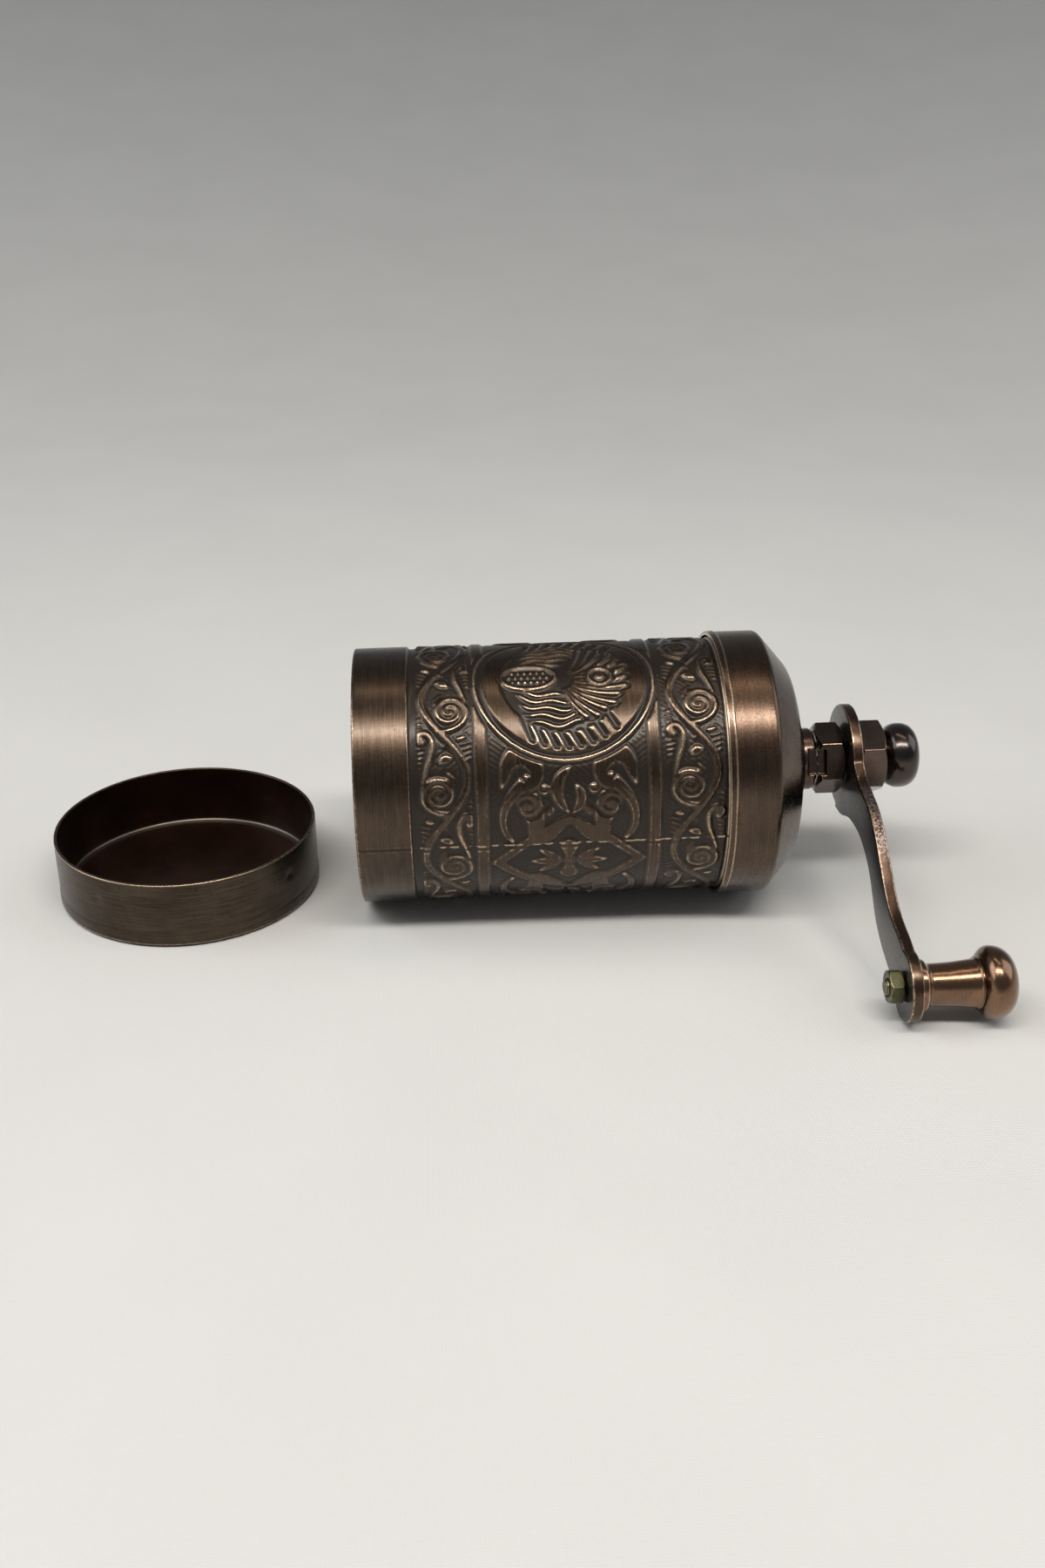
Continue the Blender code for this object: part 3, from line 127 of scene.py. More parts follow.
def cap_place():
    low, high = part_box("bottom_cap")
    return Matrix.Translation(((low.x + high.x) / 2, (low.y + high.y) / 2, low.z))


def reach(node, place):
    """Lowest and highest point of a CAD node along a frame's Z, and its largest
    distance from it, in millimetres."""
    back = place.inverted()
    points = np.array([back @ v.co for v in frame["nodes"][node].data.vertices]) / MM
    return points[:, 2].min(), points[:, 2].max(), np.hypot(points[:, 0], points[:, 1]).max()


MILL = mill_place()
CRANK, ARM_LENGTH = crank_place()
KNOB = CRANK @ Matrix.Translation((ARM_LENGTH * MM, 0, 0))
CAP = cap_place()
CRANK_X = (MILL.inverted() @ CRANK).to_3x3().col[0]
CRANK_TURN = math.atan2(CRANK_X.y, CRANK_X.x)


# ---------------------------------------------------------------- settings

def length_mm(name, text, default, low, high):
    return FloatProperty(name=name, description=text + ", in mm", default=default, min=low, max=high)


class MillSizes(bpy.types.PropertyGroup):
    """Sizes of the pieces, in millimetres."""

    body_radius: length_mm(
        "Body Radius", "Radius of the tube's plain band", reach("body_shell", MILL)[2], 5.0, 100.0)
    body_height: length_mm("Body Height", "Length of the tube", reach("body_shell", MILL)[1], 10.0, 300.0)
    body_wall: length_mm("Body Wall", "Thickness of the tube's sheet", 0.8, 0.2, 3.0)
    band_height: length_mm("Plain Band", "Length of the plain band at the open rim", 9.8, 1.0, 40.0)
    emboss_start: length_mm("Embossing Start", "Where the embossed ground begins", 11.2, 1.0, 40.0)
    emboss_depth: length_mm("Embossing Depth", "From the raised tops down to the ground", 0.45, 0.05, 0.6)
    emboss_step: length_mm("Embossing Step", "Distance between rows of mesh in the embossing", 0.2, 0.1, 1.0)
    columns: IntProperty(
        name="Columns", description="Columns of mesh round the body, a multiple of ten",
        default=720, min=60, max=1440)
    seam_angle: FloatProperty(
        name="Seam Angle", description="Where the soldered seam lies, from the far side over the top",
        default=math.radians(188.7), subtype="ANGLE", unit="ROTATION")
    cover_rim: length_mm(
        "Cover Rim", "Height of the cover's rolled edge on the body", reach("top_cover", MILL)[0], 10.0, 300.0)
    cover_radius: length_mm(
        "Cover Radius", "Radius over the cover's rolled edge", reach("top_cover", MILL)[2], 5.0, 100.0)
    cap_radius: length_mm("Cap Radius", "Radius over the cap's band", reach("bottom_cap", CAP)[2], 5.0, 100.0)
    cap_height: length_mm("Cap Height", "Height of the cap", reach("bottom_cap", CAP)[1], 2.0, 60.0)


def colour(name, text, value):
    return FloatVectorProperty(
        name=name, description=text, default=value, size=3, min=0.0, max=1.0, subtype="COLOR")


class MillFinish(bpy.types.PropertyGroup):
    """Colours of the mill's finishes."""

    copper: colour("Aged Copper", "Raised, rubbed copper plate", (0.093, 0.063, 0.042))
    copper_dark: colour("Dark Copper", "Copper plate under its patina", (0.037, 0.025, 0.017))
    copper_worn: colour("Worn Copper", "Copper rubbed bare along edges", (0.42, 0.31, 0.215))
    soot: colour("Patina", "The black patina in the recesses", (0.016, 0.012, 0.009))
    bronze: colour("Dark Bronze", "Dark plate of the nuts and the arm", (0.125, 0.075, 0.050))
    bronze_dark: colour("Bronze Patina", "Darkest tone of the nuts", (0.045, 0.030, 0.024))
    knob_copper: colour("Knob Copper", "The hand-polished knob", (0.27, 0.145, 0.075))
    # painted reflection: this grey, set on the arm's flat faces, stands for the pale cloth that they mirror
    face_reflection_grey: colour("Gunmetal", "Bare grey of the arm's faces", (0.066, 0.066, 0.063))
    steel: colour("Sheet Steel", "Plated steel of the inner pieces", (0.42, 0.42, 0.43))
    iron: colour("Burr Iron", "Cast iron of the burrs", (0.16, 0.155, 0.15))
    brass: colour("Brass", "Turned brass of the adjuster", (0.58, 0.42, 0.17))
    zinc: colour("Zinc", "Yellow-green zinc of the knob's bolt", (0.120, 0.115, 0.062))


def power(name, text, value):
    return FloatProperty(name=name, description=text, default=value, min=0.0, max=500.0, unit="POWER")


class StageSettings(bpy.types.PropertyGroup):
    """Camera, lights and floor."""

    eye: FloatVectorProperty(
        name="Camera", description="Where the camera stands",
        default=(-0.00907, -0.24909, 0.15001), size=3, subtype="TRANSLATION", unit="LENGTH")
    yaw: FloatProperty(
        name="Yaw", description="Turn of the camera from +Y towards +X",
        default=0.054, subtype="ANGLE", unit="ROTATION")
    pitch: FloatProperty(
        name="Pitch", description="How far the camera looks down",
        default=0.455, subtype="ANGLE", unit="ROTATION")
    lens: FloatProperty(
        name="Lens", description="Focal length for a 36 mm wide sensor",
        default=52.6, min=10.0, max=300.0, unit="CAMERA")
    strip_power: power("Strip Power", "Power of the long light over the front", 5.0)
    overhead_power: power("Overhead Power", "Power of the narrow warm light above", 0.45)
    side_power: power("Side Power", "Power of the broad lights at the sides", 4.6)
    sky_strength: FloatProperty(
        name="Sky Strength", description="Strength of the light from all round",
        default=0.20, min=0.0, max=10.0)
    cloth: colour("Cloth", "Colour of the pale cloth floor", (0.61, 0.615, 0.61))


def sizes():
    return bpy.context.scene.mill_sizes


def finish():
    return bpy.context.scene.mill_finish


# ---------------------------------------------------------------- mesh making

def soften(outline, steps=4):
    """Rounds the corners of a closed outline of (radius, height, fillet)."""
    found = []
    count = len(outline)
    for i, (r, h, fillet) in enumerate(outline):
        before, after = outline[i - 1], outline[(i + 1) % count]
        corner = Vector((r, h))
        one = Vector(before[:2]) - corner
        two = Vector(after[:2]) - corner
        cut = min(fillet, 0.45 * one.length, 0.45 * two.length)
        if cut < 1e-4 or r < 1e-6:
            found.append((r, h))
            continue
        start, end = corner + one.normalized() * cut, corner + two.normalized() * cut
        for k in range(steps + 1):
            t = k / steps
            found.append(tuple(start * (1 - t) ** 2 + corner * 2 * t * (1 - t) + end * t**2))
    return found


def fine(outline, step, closed=True):
    """Adds points so that no side of an outline is longer than a step."""
    found = []
    last = len(outline) if closed else len(outline) - 1
    for i in range(last):
        (r, h), (r2, h2) = outline[i], outline[(i + 1) % len(outline)]
        parts = max(1, math.ceil(math.hypot(r2 - r, h2 - h) / step - 1e-6))
        if r < 1e-6 and r2 < 1e-6:
            parts = 1
        found += [(r + (r2 - r) * k / parts, h + (h2 - h) * k / parts) for k in range(parts)]
    return found if closed else found + [outline[-1]]


def ring(radius, height, columns, start=0.0):
    """A row of points round Z; radius is one number or one for each column."""
    a = start + TAU * np.arange(columns) / columns
    radius = np.broadcast_to(radius, a.shape)
    height = np.broadcast_to(height, a.shape)
    return np.stack([radius * np.cos(a), radius * np.sin(a), height], axis=1)


def rows_of(outline, columns):
    return [np.array([(0.0, 0.0, h)]) if r < 1e-6 else ring(r, h, columns) for r, h in outline]


def skin(name, rows):
    """A closed mesh over rows of points, each joined to the next. Rows of one
    point are poles; without them the last row joins the first."""
    starts = np.cumsum([0] + [len(row) for row in rows])
    columns = max(len(row) for row in rows)
    here = np.arange(columns)
    after = (here + 1) % columns
    quads, thirds = [], []
    for k, row in enumerate(rows):
        n = (k + 1) % len(rows)
        a, b = starts[k], starts[n]
        if len(row) == 1 and len(rows[n]) == 1:
            continue
        if len(row) == 1:
            thirds.append(np.stack([np.full(columns, a), b + after, b + here], axis=1))
        elif len(rows[n]) == 1:
            thirds.append(np.stack([a + here, a + after, np.full(columns, b)], axis=1))
        else:
            quads.append(np.stack([a + here, a + after, b + after, b + here], axis=1))
    points = np.concatenate(rows)
    quads = np.concatenate(quads) if quads else np.zeros((0, 4), int)
    thirds = np.concatenate(thirds) if thirds else np.zeros((0, 3), int)
    return mesh_of(name, points, quads, thirds)


def mesh_of(name, points, quads, thirds):
    """A smooth-shaded mesh in metres, turned so that its faces look out."""
    halves = [thirds, quads[:, [0, 1, 2]], quads[:, [0, 2, 3]]]
    corners = points[np.concatenate(halves)]
    if np.linalg.det(corners - points.mean(axis=0)).sum() < 0:
        quads, thirds = quads[:, ::-1], thirds[:, ::-1]
    mesh = bpy.data.meshes.new(name)
    mesh.vertices.add(len(points))
    mesh.vertices.foreach_set("co", (points * MM).astype(np.float32).ravel())
    loops = np.concatenate([quads.ravel(), thirds.ravel()]).astype(np.int32)
    mesh.loops.add(len(loops))
    mesh.loops.foreach_set("vertex_index", loops)
    first = np.concatenate([4 * np.arange(len(quads)), 4 * len(quads) + 3 * np.arange(len(thirds))])
    mesh.polygons.add(len(first))
    mesh.polygons.foreach_set("loop_start", first.astype(np.int32))
    mesh.update(calc_edges=True)
    mesh.validate()
    mesh.shade_smooth()
    return mesh


def store(mesh, name, values):
    held = mesh.attributes.new(name, "FLOAT", "POINT")
    held.data.foreach_set("value", np.ascontiguousarray(values, np.float32))


def mark_edges(mesh, sharpest=0.45):
    """Stores in "edge" how far each point's surface rounds outwards: 0 where it
    is flat, 1 where its radius is well under sharpest, in millimetres."""
    count = len(mesh.vertices)
    co = np.empty(count * 3, np.float32)
    mesh.vertices.foreach_get("co", co)
    co = co.reshape(-1, 3) / MM
    normal = np.empty(count * 3, np.float32)
    mesh.vertex_normals.foreach_get("vector", normal)
    normal = normal.reshape(-1, 3)
    ends = np.empty(len(mesh.edges) * 2, np.int32)
    mesh.edges.foreach_get("vertices", ends)
    ends = ends.reshape(-1, 2)
    bend = np.zeros(count)
    for a, b in ((0, 1), (1, 0)):
        side = co[ends[:, b]] - co[ends[:, a]]
        size = np.maximum((side**2).sum(axis=1), 1e-4)
        np.maximum.at(bend, ends[:, a], -2 * (side * normal[ends[:, a]]).sum(axis=1) / size)
    store(mesh, "edge", np.clip((bend - 0.15) * sharpest, 0, 1))


def add_piece(mesh, material, body, slot, *nodes, place=None, edges=True):
    """Makes a mesh the piece that stands for CAD nodes and rides with a body."""
    if edges:
        mark_edges(mesh)
    piece = bpy.data.objects.new(mesh.name, mesh)
    bpy.context.scene.collection.objects.link(piece)
    mesh.materials.append(material)
    piece.matrix_world = MILL if place is None else place
    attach(piece, body)
    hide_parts(*nodes)
    return piece


def turned(name, outline, columns, step=0.6):
    """A turned solid from a closed outline of (radius, height, fillet)."""
    return skin(name, rows_of(fine(soften(outline), step), columns))


# ---------------------------------------------------------------- embossing

def curve(points, parts=8):
    """A smooth line through a few points."""
    p = np.array([points[0], *points, points[-1]], float)
    t = np.linspace(0, 1, parts, endpoint=False)[:, None]
    found = []
    for i in range(1, len(p) - 2):
        a, b, c, d = p[i - 1], p[i], p[i + 1], p[i + 2]
        found.append(
            0.5 * (2 * b + (c - a) * t + (2 * a - 5 * b + 4 * c - d) * t**2 + (3 * b - 3 * c + d - a) * t**3))
    return np.concatenate(found + [p[-1:]])


def spiral(centre, start, turns, outer, inner, parts=46):
    """A line that winds in round a centre; start and turns are in turns."""
    t = np.linspace(0, 1, parts)
    a = TAU * (start + turns * t)
    r = inner + (outer - inner) * (1 - t)
    return np.stack([centre[0] + r * np.cos(a), centre[1] + r * np.sin(a)], axis=1)


def even(t):
    return np.ones_like(t)


def leaf(t):
    """Pointed at both ends."""
    return np.sin(np.pi * np.clip(t, 0, 1)) ** 0.75 + 0.05


def comma(t):
    """Round and full at the start, running out to a point."""
    return np.clip(1.02 - t, 0, 1) ** 0.5


def swell(t):
    """Thin at the start, full and round at the end."""
    return 0.3 + 0.7 * np.clip(t, 0, 1) ** 0.8


def tail(t):
    return 1.0 - 0.55 * t


class Embossing:
    """A height field over one repeat of a pattern that closes on itself round
    the body. x runs along the mill and y round it; 0 is the ground, 1 the top."""

    def __init__(self, x, period, count):
        self.x, self.period = x, period
        self.y = np.arange(count) * period / count
        self.level = np.zeros((len(x), count))
        self.moat = np.zeros((len(x), count))

    def near(self, line, width):
        """Slices of the field close to a line, for each place it shows in."""
        low, high = line.min(axis=0) - width, line.max(axis=0) + width
        columns = np.arange(*np.searchsorted(self.x, (low[0], high[0])))
        for lap in (-2, -1, 0, 1, 2):
            span = np.searchsorted(self.y, (low[1] + lap * self.period, high[1] + lap * self.period))
            around = np.arange(*span)
            if len(around) and len(columns):
                y = self.y[around][None] - lap * self.period
                yield np.ix_(columns, around), self.x[columns][:, None], y

    def distance(self, line, x, y):
        """Distance to the nearest point of a line, and that point's share of it."""
        steps = np.hypot(*(line[1:] - line[:-1]).T)
        at = np.concatenate([[0], np.cumsum(steps)]) / max(steps.sum(), 1e-9)
        best = np.full(np.broadcast(x, y).shape, np.inf)
        share = np.zeros_like(best)
        for k in range(len(line) - 1):
            (ax, ay), (bx, by) = line[k], line[k + 1]
            dx, dy = bx - ax, by - ay
            t = np.clip(((x - ax) * dx + (y - ay) * dy) / max(dx * dx + dy * dy, 1e-12), 0, 1)
            d = np.hypot(x - ax - t * dx, y - ay - t * dy)
            closer = d < best
            best = np.where(closer, d, best)
            share = np.where(closer, at[k] + t * (at[k + 1] - at[k]), share)
        return best, share

    def shape_of(self, line, width, taper, soft):
        """How far the field lies inside a tapered band, and how far in or beside it."""
        line = np.asarray(line, float)
        for where, x, y in self.near(line, width + 0.6):
            d, share = self.distance(line, x, y)
            inside = width * taper(share) - d
            yield where, step_up(inside / soft + 0.35), step_up(inside / 0.35 + 1.5)

    def ridge(self, line, width, taper=even, height=1.0, soft=0.32):
        """Raises a band of half-width width along a line."""
        for where, amount, around in self.shape_of(line, width, taper, soft):
            self.level[where] = np.maximum(self.level[where], height * amount)
            self.moat[where] = np.maximum(self.moat[where], height * around)

    def cut(self, line, width, taper=even, depth=1.0, soft=0.3):
        """Sinks a groove of half-width width along a line."""
        for where, amount, _ in self.shape_of(line, width, taper, soft):
            self.level[where] = self.level[where] * (1 - depth * amount)
            self.moat[where] = np.maximum(self.moat[where], amount)

    def disc(self, centre, radius, height, soft=0.4):
        """Sets a round field to one height."""
        middle = np.array([centre], float)
        for where, x, y in self.near(middle, radius + 0.3):
            inside = step_up((radius - np.hypot(x - centre[0], y - centre[1])) / soft + 0.5)
            self.level[where] = self.level[where] * (1 - inside) + height * inside
            self.moat[where] = np.maximum(self.moat[where], inside)

    def oval(self, centre, half_x, half_y, width, first=0.0, last=1.0, height=1.0):
        a = TAU * np.linspace(first, last, 40)
        line = np.stack([centre[0] + half_x * np.cos(a), centre[1] + half_y * np.sin(a)], axis=1)
        self.ridge(line, width, height=height)


def step_up(t):
    t = np.clip(t, 0, 1)
    return t * t * (3 - 2 * t)


def blur(field, rows, columns):
    """Averages a field over a small window; it closes on itself across columns."""
    padded = np.pad(field, ((rows, rows), (0, 0)), mode="edge")
    total = sum(padded[k : k + len(field)] for k in range(2 * rows + 1)) / (2 * rows + 1)
    return sum(np.roll(total, k, axis=1) for k in range(-columns, columns + 1)) / (2 * columns + 1)


def scroll_border(field, centre, start):
    """A vine that swings from side to side, with a spiral, a curled tendril, a
    leaf and ticks in each of its bays."""
    period = field.period
    y = np.linspace(0, period, 60)
    vine = np.stack([centre - 3.9 * np.cos(TAU * y / period), start + y], axis=1)
    ticks = [((3.0 + 0.25 * k, 9.0 + 0.95 * k), (4.5, 8.6 + 0.95 * k)) for k in range(4)]
    ticks += [((-4.9, 4.3 + 0.9 * k), (-4.0, 4.0 + 0.9 * k)) for k in range(3)]
    ticks += [((-4.9, 9.7 + 0.9 * k), (-3.6 - 0.2 * k, 9.5 + 0.9 * k)) for k in range(4)]
    ticks += [((-1.6, 0.2 + 0.8 * k), (-0.4, -0.9 + 0.8 * k)) for k in range(2)]
    for flip, rise in ((1, 0.0), (-1, period / 2)):
        def put(points, flip=flip, rise=rise):
            return np.array([(centre + flip * x, start + rise + v) for x, v in points])

        for low, high in ticks:
            field.ridge(put((low, high)), 0.27, height=0.75, soft=0.22)
        middle = (1.15, 2.75)
        turn = spiral(middle, 0.33, -2.35, 3.35, 0.25)
        turn[:5] += np.array([(-0.7, 0.75)]) * np.linspace(1, 0, 5)[:, None] ** 1.5
        field.ridge(put(turn), 0.56)
        field.ridge(put([middle, (middle[0] + 0.1, middle[1])]), 0.45)
        hook = curve([(-4.0, 8.4), (-4.5, 7.7), (-4.0, 6.9), (-2.9, 7.1), (-2.15, 8.6),
                      (-2.3, 10.8), (-3.1, 13.0), (-3.9, 15.6)])
        field.ridge(put(hook), 0.80, tail)
        field.ridge(put(curve([(-1.1, 12.4), (0.2, 11.5), (1.5, 11.4)])), 0.85, leaf)
        field.ridge(put(curve([(1.9, 7.9), (2.9, 7.9), (4.0, 7.4)])), 0.42, leaf)
        field.ridge(put(curve([(-0.6, 9.6), (0.3, 9.2), (1.0, 9.4)])), 0.32, leaf, height=0.7)
    field.ridge(vine, 0.70)


def medallion(field, centre):
    """A round plate in a thin ring. It holds a beaded oval, waves, a fan of long
    leaves round a ringed boss, and a notched rim."""
    cx, cy = centre

    def put(points):
        return np.array([(cx + x, cy + y) for x, y in points])

    field.disc(centre, 17.0, 0.0)
    field.oval(centre, 16.1, 16.1, 0.42)
    field.disc(centre, 14.9, 0.9, soft=0.5)
    field.disc((cx - 0.4, cy), 10.9, 0.08, soft=0.5)
    for side in (1, -1):
        for k in range(8):
            x = -7.6 + 2.15 * k
            base = math.sqrt(10.6**2 - x * x) - 0.4
            rim = math.sqrt(13.6**2 - (x + 1.5) ** 2)
            field.cut(put([(x - 0.3, side * base), (x + 1.5, side * rim)]), 0.55, soft=0.35)
    # waves under and over the oval
    for side in (1, -1):
        for k in range(5):
            x = np.linspace(-9.9 + 0.75 * k, 0.6 + 1.25 * k, 24)
            y = 3.4 + 1.5 * k + 0.42 * np.sin(0.95 * x + 0.7 * k) - 0.035 * (x + 1.5) ** 2
            line = np.stack([cx + x, cy - 0.6 + side * (y + (0.8 if side > 0 else 0.6))], axis=1)
            field.ridge(line, 0.46, leaf, height=0.95)
    # a fan of long leaves
    hub = (-0.6, -0.4)
    for k in range(-6, 7):
        a = math.radians(10.6 * k)
        outer = 11.6 - 0.35 * abs(k) + (0.5 if k % 2 else 0.0)
        points = [
            (hub[0] + r * math.cos(a + 0.04 * (outer - r)), hub[1] + r * math.sin(a + 0.04 * (outer - r)))
            for r in np.linspace(2.6, outer, 6)
        ]
        field.cut(put(points), 0.95, swell, 1.0, soft=0.4)
        field.ridge(put(points), 0.62, swell, height=1.0, soft=0.36)
    boss = (cx + 6.6, cy - 0.7)
    field.disc(boss, 2.75, 0.05)
    field.oval(boss, 2.05, 2.05, 0.42)
    field.disc(boss, 0.95, 0.95)
    # the beaded oval
    oval = (cx - 6.3, cy - 0.9)
    a = TAU * np.linspace(0, 1, 30)
    for r in np.linspace(0, 3.0, 9):
        field.cut(np.stack([oval[0] + 1.68 * r * np.cos(a), oval[1] + r * np.sin(a)], axis=1), 0.5)
    field.oval(oval, 4.9, 2.9, 0.5)
    for row, count in ((-1.15, 6), (0.0, 7), (1.15, 6)):
        for k in range(count):
            field.disc((oval[0] + (k - (count - 1) / 2) * 1.12, oval[1] + row), 0.36, 0.9, soft=0.3)


def corner_leaves(field, centre):
    """Curled leaves, small leaves and a swaying centre leaf between the plate
    and the lozenge, the same in all four corners of the lozenge."""
    cx, cy = centre
    for fx in (1, -1):
        for fy in (1, -1):
            def put(points, fx=fx, fy=fy):
                return np.array([(cx + fx * x, cy + fy * y) for x, y in points])

            stem = curve([(7.6, 16.2), (9.6, 14.2), (11.2, 11.9), (11.8, 9.4), (11.4, 6.9), (10.2, 4.9)])
            field.ridge(put(stem), 1.25, tail)
            field.cut(put(stem[8:-4]), 0.15, depth=0.35)
            field.ridge(put(curve([(7.0, 11.9), (6.2, 9.9), (6.1, 8.2), (6.9, 6.0)])), 2.45, comma)
            field.cut(put(spiral((7.3, 11.6), 0.52, 1.3, 2.55, 0.5, 26)), 0.26, tail, 0.95)
            outer = curve([(7.6, 20.9), (9.4, 20.9), (10.7, 19.3), (11.2, 17.5), (11.9, 15.2)])
            field.ridge(put(outer), 1.85, comma)
            inner = curve([(8.6, 20.6), (6.6, 19.9), (5.6, 17.9), (6.1, 15.9), (7.6, 14.9)])
            field.ridge(put(inner), 1.95, tail)
            field.cut(put(curve([(8.3, 19.6), (8.5, 17.8), (7.8, 16.0)])), 0.42, leaf)
            field.cut(put(curve([(10.2, 19.5), (10.8, 17.6)])), 0.18, leaf, 0.6)
            field.ridge(put([(3.3, 14.9), (5.5, 14.3)]), 0.95, leaf)
            field.cut(put([(3.8, 14.75), (4.9, 14.45)]), 0.15, depth=0.6)
            field.ridge(put([(2.7, 11.9), (3.9, 9.6)]), 0.75, leaf, height=0.8)
    for fy in (1, -1):
        for fx, points, width in (
            (fy, [(-0.5, 18.6), (1.4, 16.9), (2.1, 14.5), (1.4, 12.1), (-0.2, 10.0)], 1.15),
            (fy, [(-1.0, 15.4), (-2.1, 13.6), (-1.7, 11.6), (-0.4, 10.0)], 1.05),
        ):
            line = curve([(cx + fx * x, cy + fy * y) for x, y in points])
            field.ridge(line, width, leaf)
            field.cut(line[4:-4], 0.15, depth=0.6)


def lozenge(field, centre):
    """A lozenge with broad shoulders, round a four-petal flower."""
    cx, cy = centre
    for fx in (1, -1):
        for fy in (1, -1):
            def put(points, fx=fx, fy=fy):
                return np.array([(cx + fx * x, cy + fy * y) for x, y in points])

            side = curve([(0, 9.1), (4.4, 6.9), (8.6, 3.8), (12.9, 0.0)])
            field.ridge(put(side), 0.98)
            field.cut(put(side[2:-2]), 0.14, depth=0.45)
            field.ridge(put(curve([(0.3, 9.0), (4.2, 5.6), (7.4, 3.9)])), 1.25, leaf)
            field.ridge(put([(1.3, 0.4), (5.6, 2.9)]), 0.75, leaf)
            field.cut(put([(2.2, 1.0), (4.6, 2.4)]), 0.13, depth=0.6)
            for k in range(5):
                field.ridge(put([(4.4 + 0.95 * k, 4.6 - 0.85 * k), (3.9 + 0.95 * k, 3.9 - 0.8 * k)]),
                            0.2, height=0.5, soft=0.25)
    for f in (1, -1):
        line = np.array([(cx, cy + f * 0.7), (cx, cy + f * 3.4)])
        field.ridge(line, 1.75, swell)
        field.cut(np.array([(cx, cy + f * 1.6), (cx, cy + f * 4.3)]), 0.16, leaf, 0.7)
        field.ridge(np.array([(cx + f * 1.0, cy), (cx + f * 6.9, cy)]), 1.0, leaf)
        field.cut(np.array([(cx + f * 2.0, cy), (cx + f * 5.6, cy)]), 0.14, leaf, 0.7)
    field.disc(centre, 1.1, 1.0)
    field.cut(np.array([(cx + 0.75 * math.cos(a), cy + 0.75 * math.sin(a)) for a in np.linspace(0, TAU, 20)]),
              0.14, depth=0.7)


def embossed_field(x, columns, radius):
    """Levels of the whole embossing: rows along the mill, columns round it."""
    round_mm = TAU * radius
    fifth = Embossing(x, round_mm / 5, columns // 5)
    degree = round_mm / 360
    for centre in (16.2, 60.5):
        scroll_border(fifth, centre, (121.5 % 72) * degree)
    half = Embossing(x, round_mm / 2, columns // 2)
    middle = 37.9
    flower = (middle, (198.5 % 180) * degree)
    corner_leaves(half, flower)
    lozenge(half, flower)
    for edge in (22.55, 53.2):
        half.ridge(np.array([(edge, -1.0), (edge, half.period + 1.0)]), 1.2, soft=0.35)
    medallion(half, (middle, 113.0 * degree))
    inside = ((x > 21.0) & (x < 54.8))[:, None]
    level, moat = (
        np.where(inside, np.tile(getattr(half, name), (1, 2)), np.tile(getattr(fifth, name), (1, 5)))
        for name in ("level", "moat")
    )
    # fine hatching in the ground, slanting one way and then the other
    turn = TAU * np.arange(columns)[None] / columns
    lean = TAU * x[:, None] / 1.3
    strokes = [np.sin(round(round_mm / 1.05) * turn + sign * lean) for sign in (1, -1)]
    patch = step_up(0.5 + 1.5 * np.sin(8 * turn + x[:, None] * 0.35))
    ground = 0.30 + 0.14 * (strokes[0] * patch + strokes[1] * (1 - patch))
    level = np.maximum(level, ground * (1 - moat))
    return blur(level, 1, 1)


# ---------------------------------------------------------------- materials

def plug(tree, socket, value):
    """Links a value that is a socket; sets a number or a colour."""
    if isinstance(value, bpy.types.NodeSocket):
        tree.links.new(value, socket)
    else:
        socket.default_value = value


def add(tree, kind, values=None, **settings):
    """A shader node; values gives its sockets numbers, colours or links."""
    node = tree.nodes.new("ShaderNode" + kind)
    for name, value in settings.items():
        setattr(node, name, value)
    for name, value in (values or {}).items():
        plug(tree, node.inputs[name], value)
    return node


def math_node(tree, operation, a, b=0.0):
    return add(tree, "Math", {0: a, 1: b}, operation=operation).outputs[0]


def times(tree, a, b):
    return math_node(tree, "MULTIPLY", a, b)


def plus(tree, a, b):
    return math_node(tree, "ADD", a, b)


def minus(tree, a, b):
    return math_node(tree, "SUBTRACT", a, b)


def blend(tree, amount, low, high, kind="MIX"):
    node = add(tree, "Mix", {0: amount}, data_type="RGBA", blend_type=kind)
    for socket, value in ((node.inputs[6], low), (node.inputs[7], high)):
        plug(tree, socket, (*value, 1.0) if isinstance(value, tuple) else value)
    return node.outputs[2]


def spread(tree, value, low, high, to_low=0.0, to_high=1.0):
    """Maps a value's range to another, smoothly and without leaving it."""
    node = add(tree, "MapRange", {0: value, 1: low, 2: high, 3: to_low, 4: to_high},
               interpolation_type="SMOOTHSTEP")
    return node.outputs[0]


def start_group(name, inputs, outputs):
    """A node group with number sockets; inputs are (name, default)."""
    tree = bpy.data.node_groups.new(name, "ShaderNodeTree")
    for socket, default in inputs:
        made = tree.interface.new_socket(name=socket, in_out="INPUT", socket_type="NodeSocketFloat")
        made.default_value = default
    for socket in outputs:
        tree.interface.new_socket(name=socket, in_out="OUTPUT", socket_type="NodeSocketFloat")
    return tree, tree.nodes.new("NodeGroupInput").outputs, tree.nodes.new("NodeGroupOutput").inputs


def millimetres(tree):
    """A piece's own coordinates in millimetres."""
    own = add(tree, "TexCoord").outputs["Object"]
    return add(tree, "VectorMath", {0: own, 1: (1 / MM,) * 3}, operation="MULTIPLY").outputs[0]


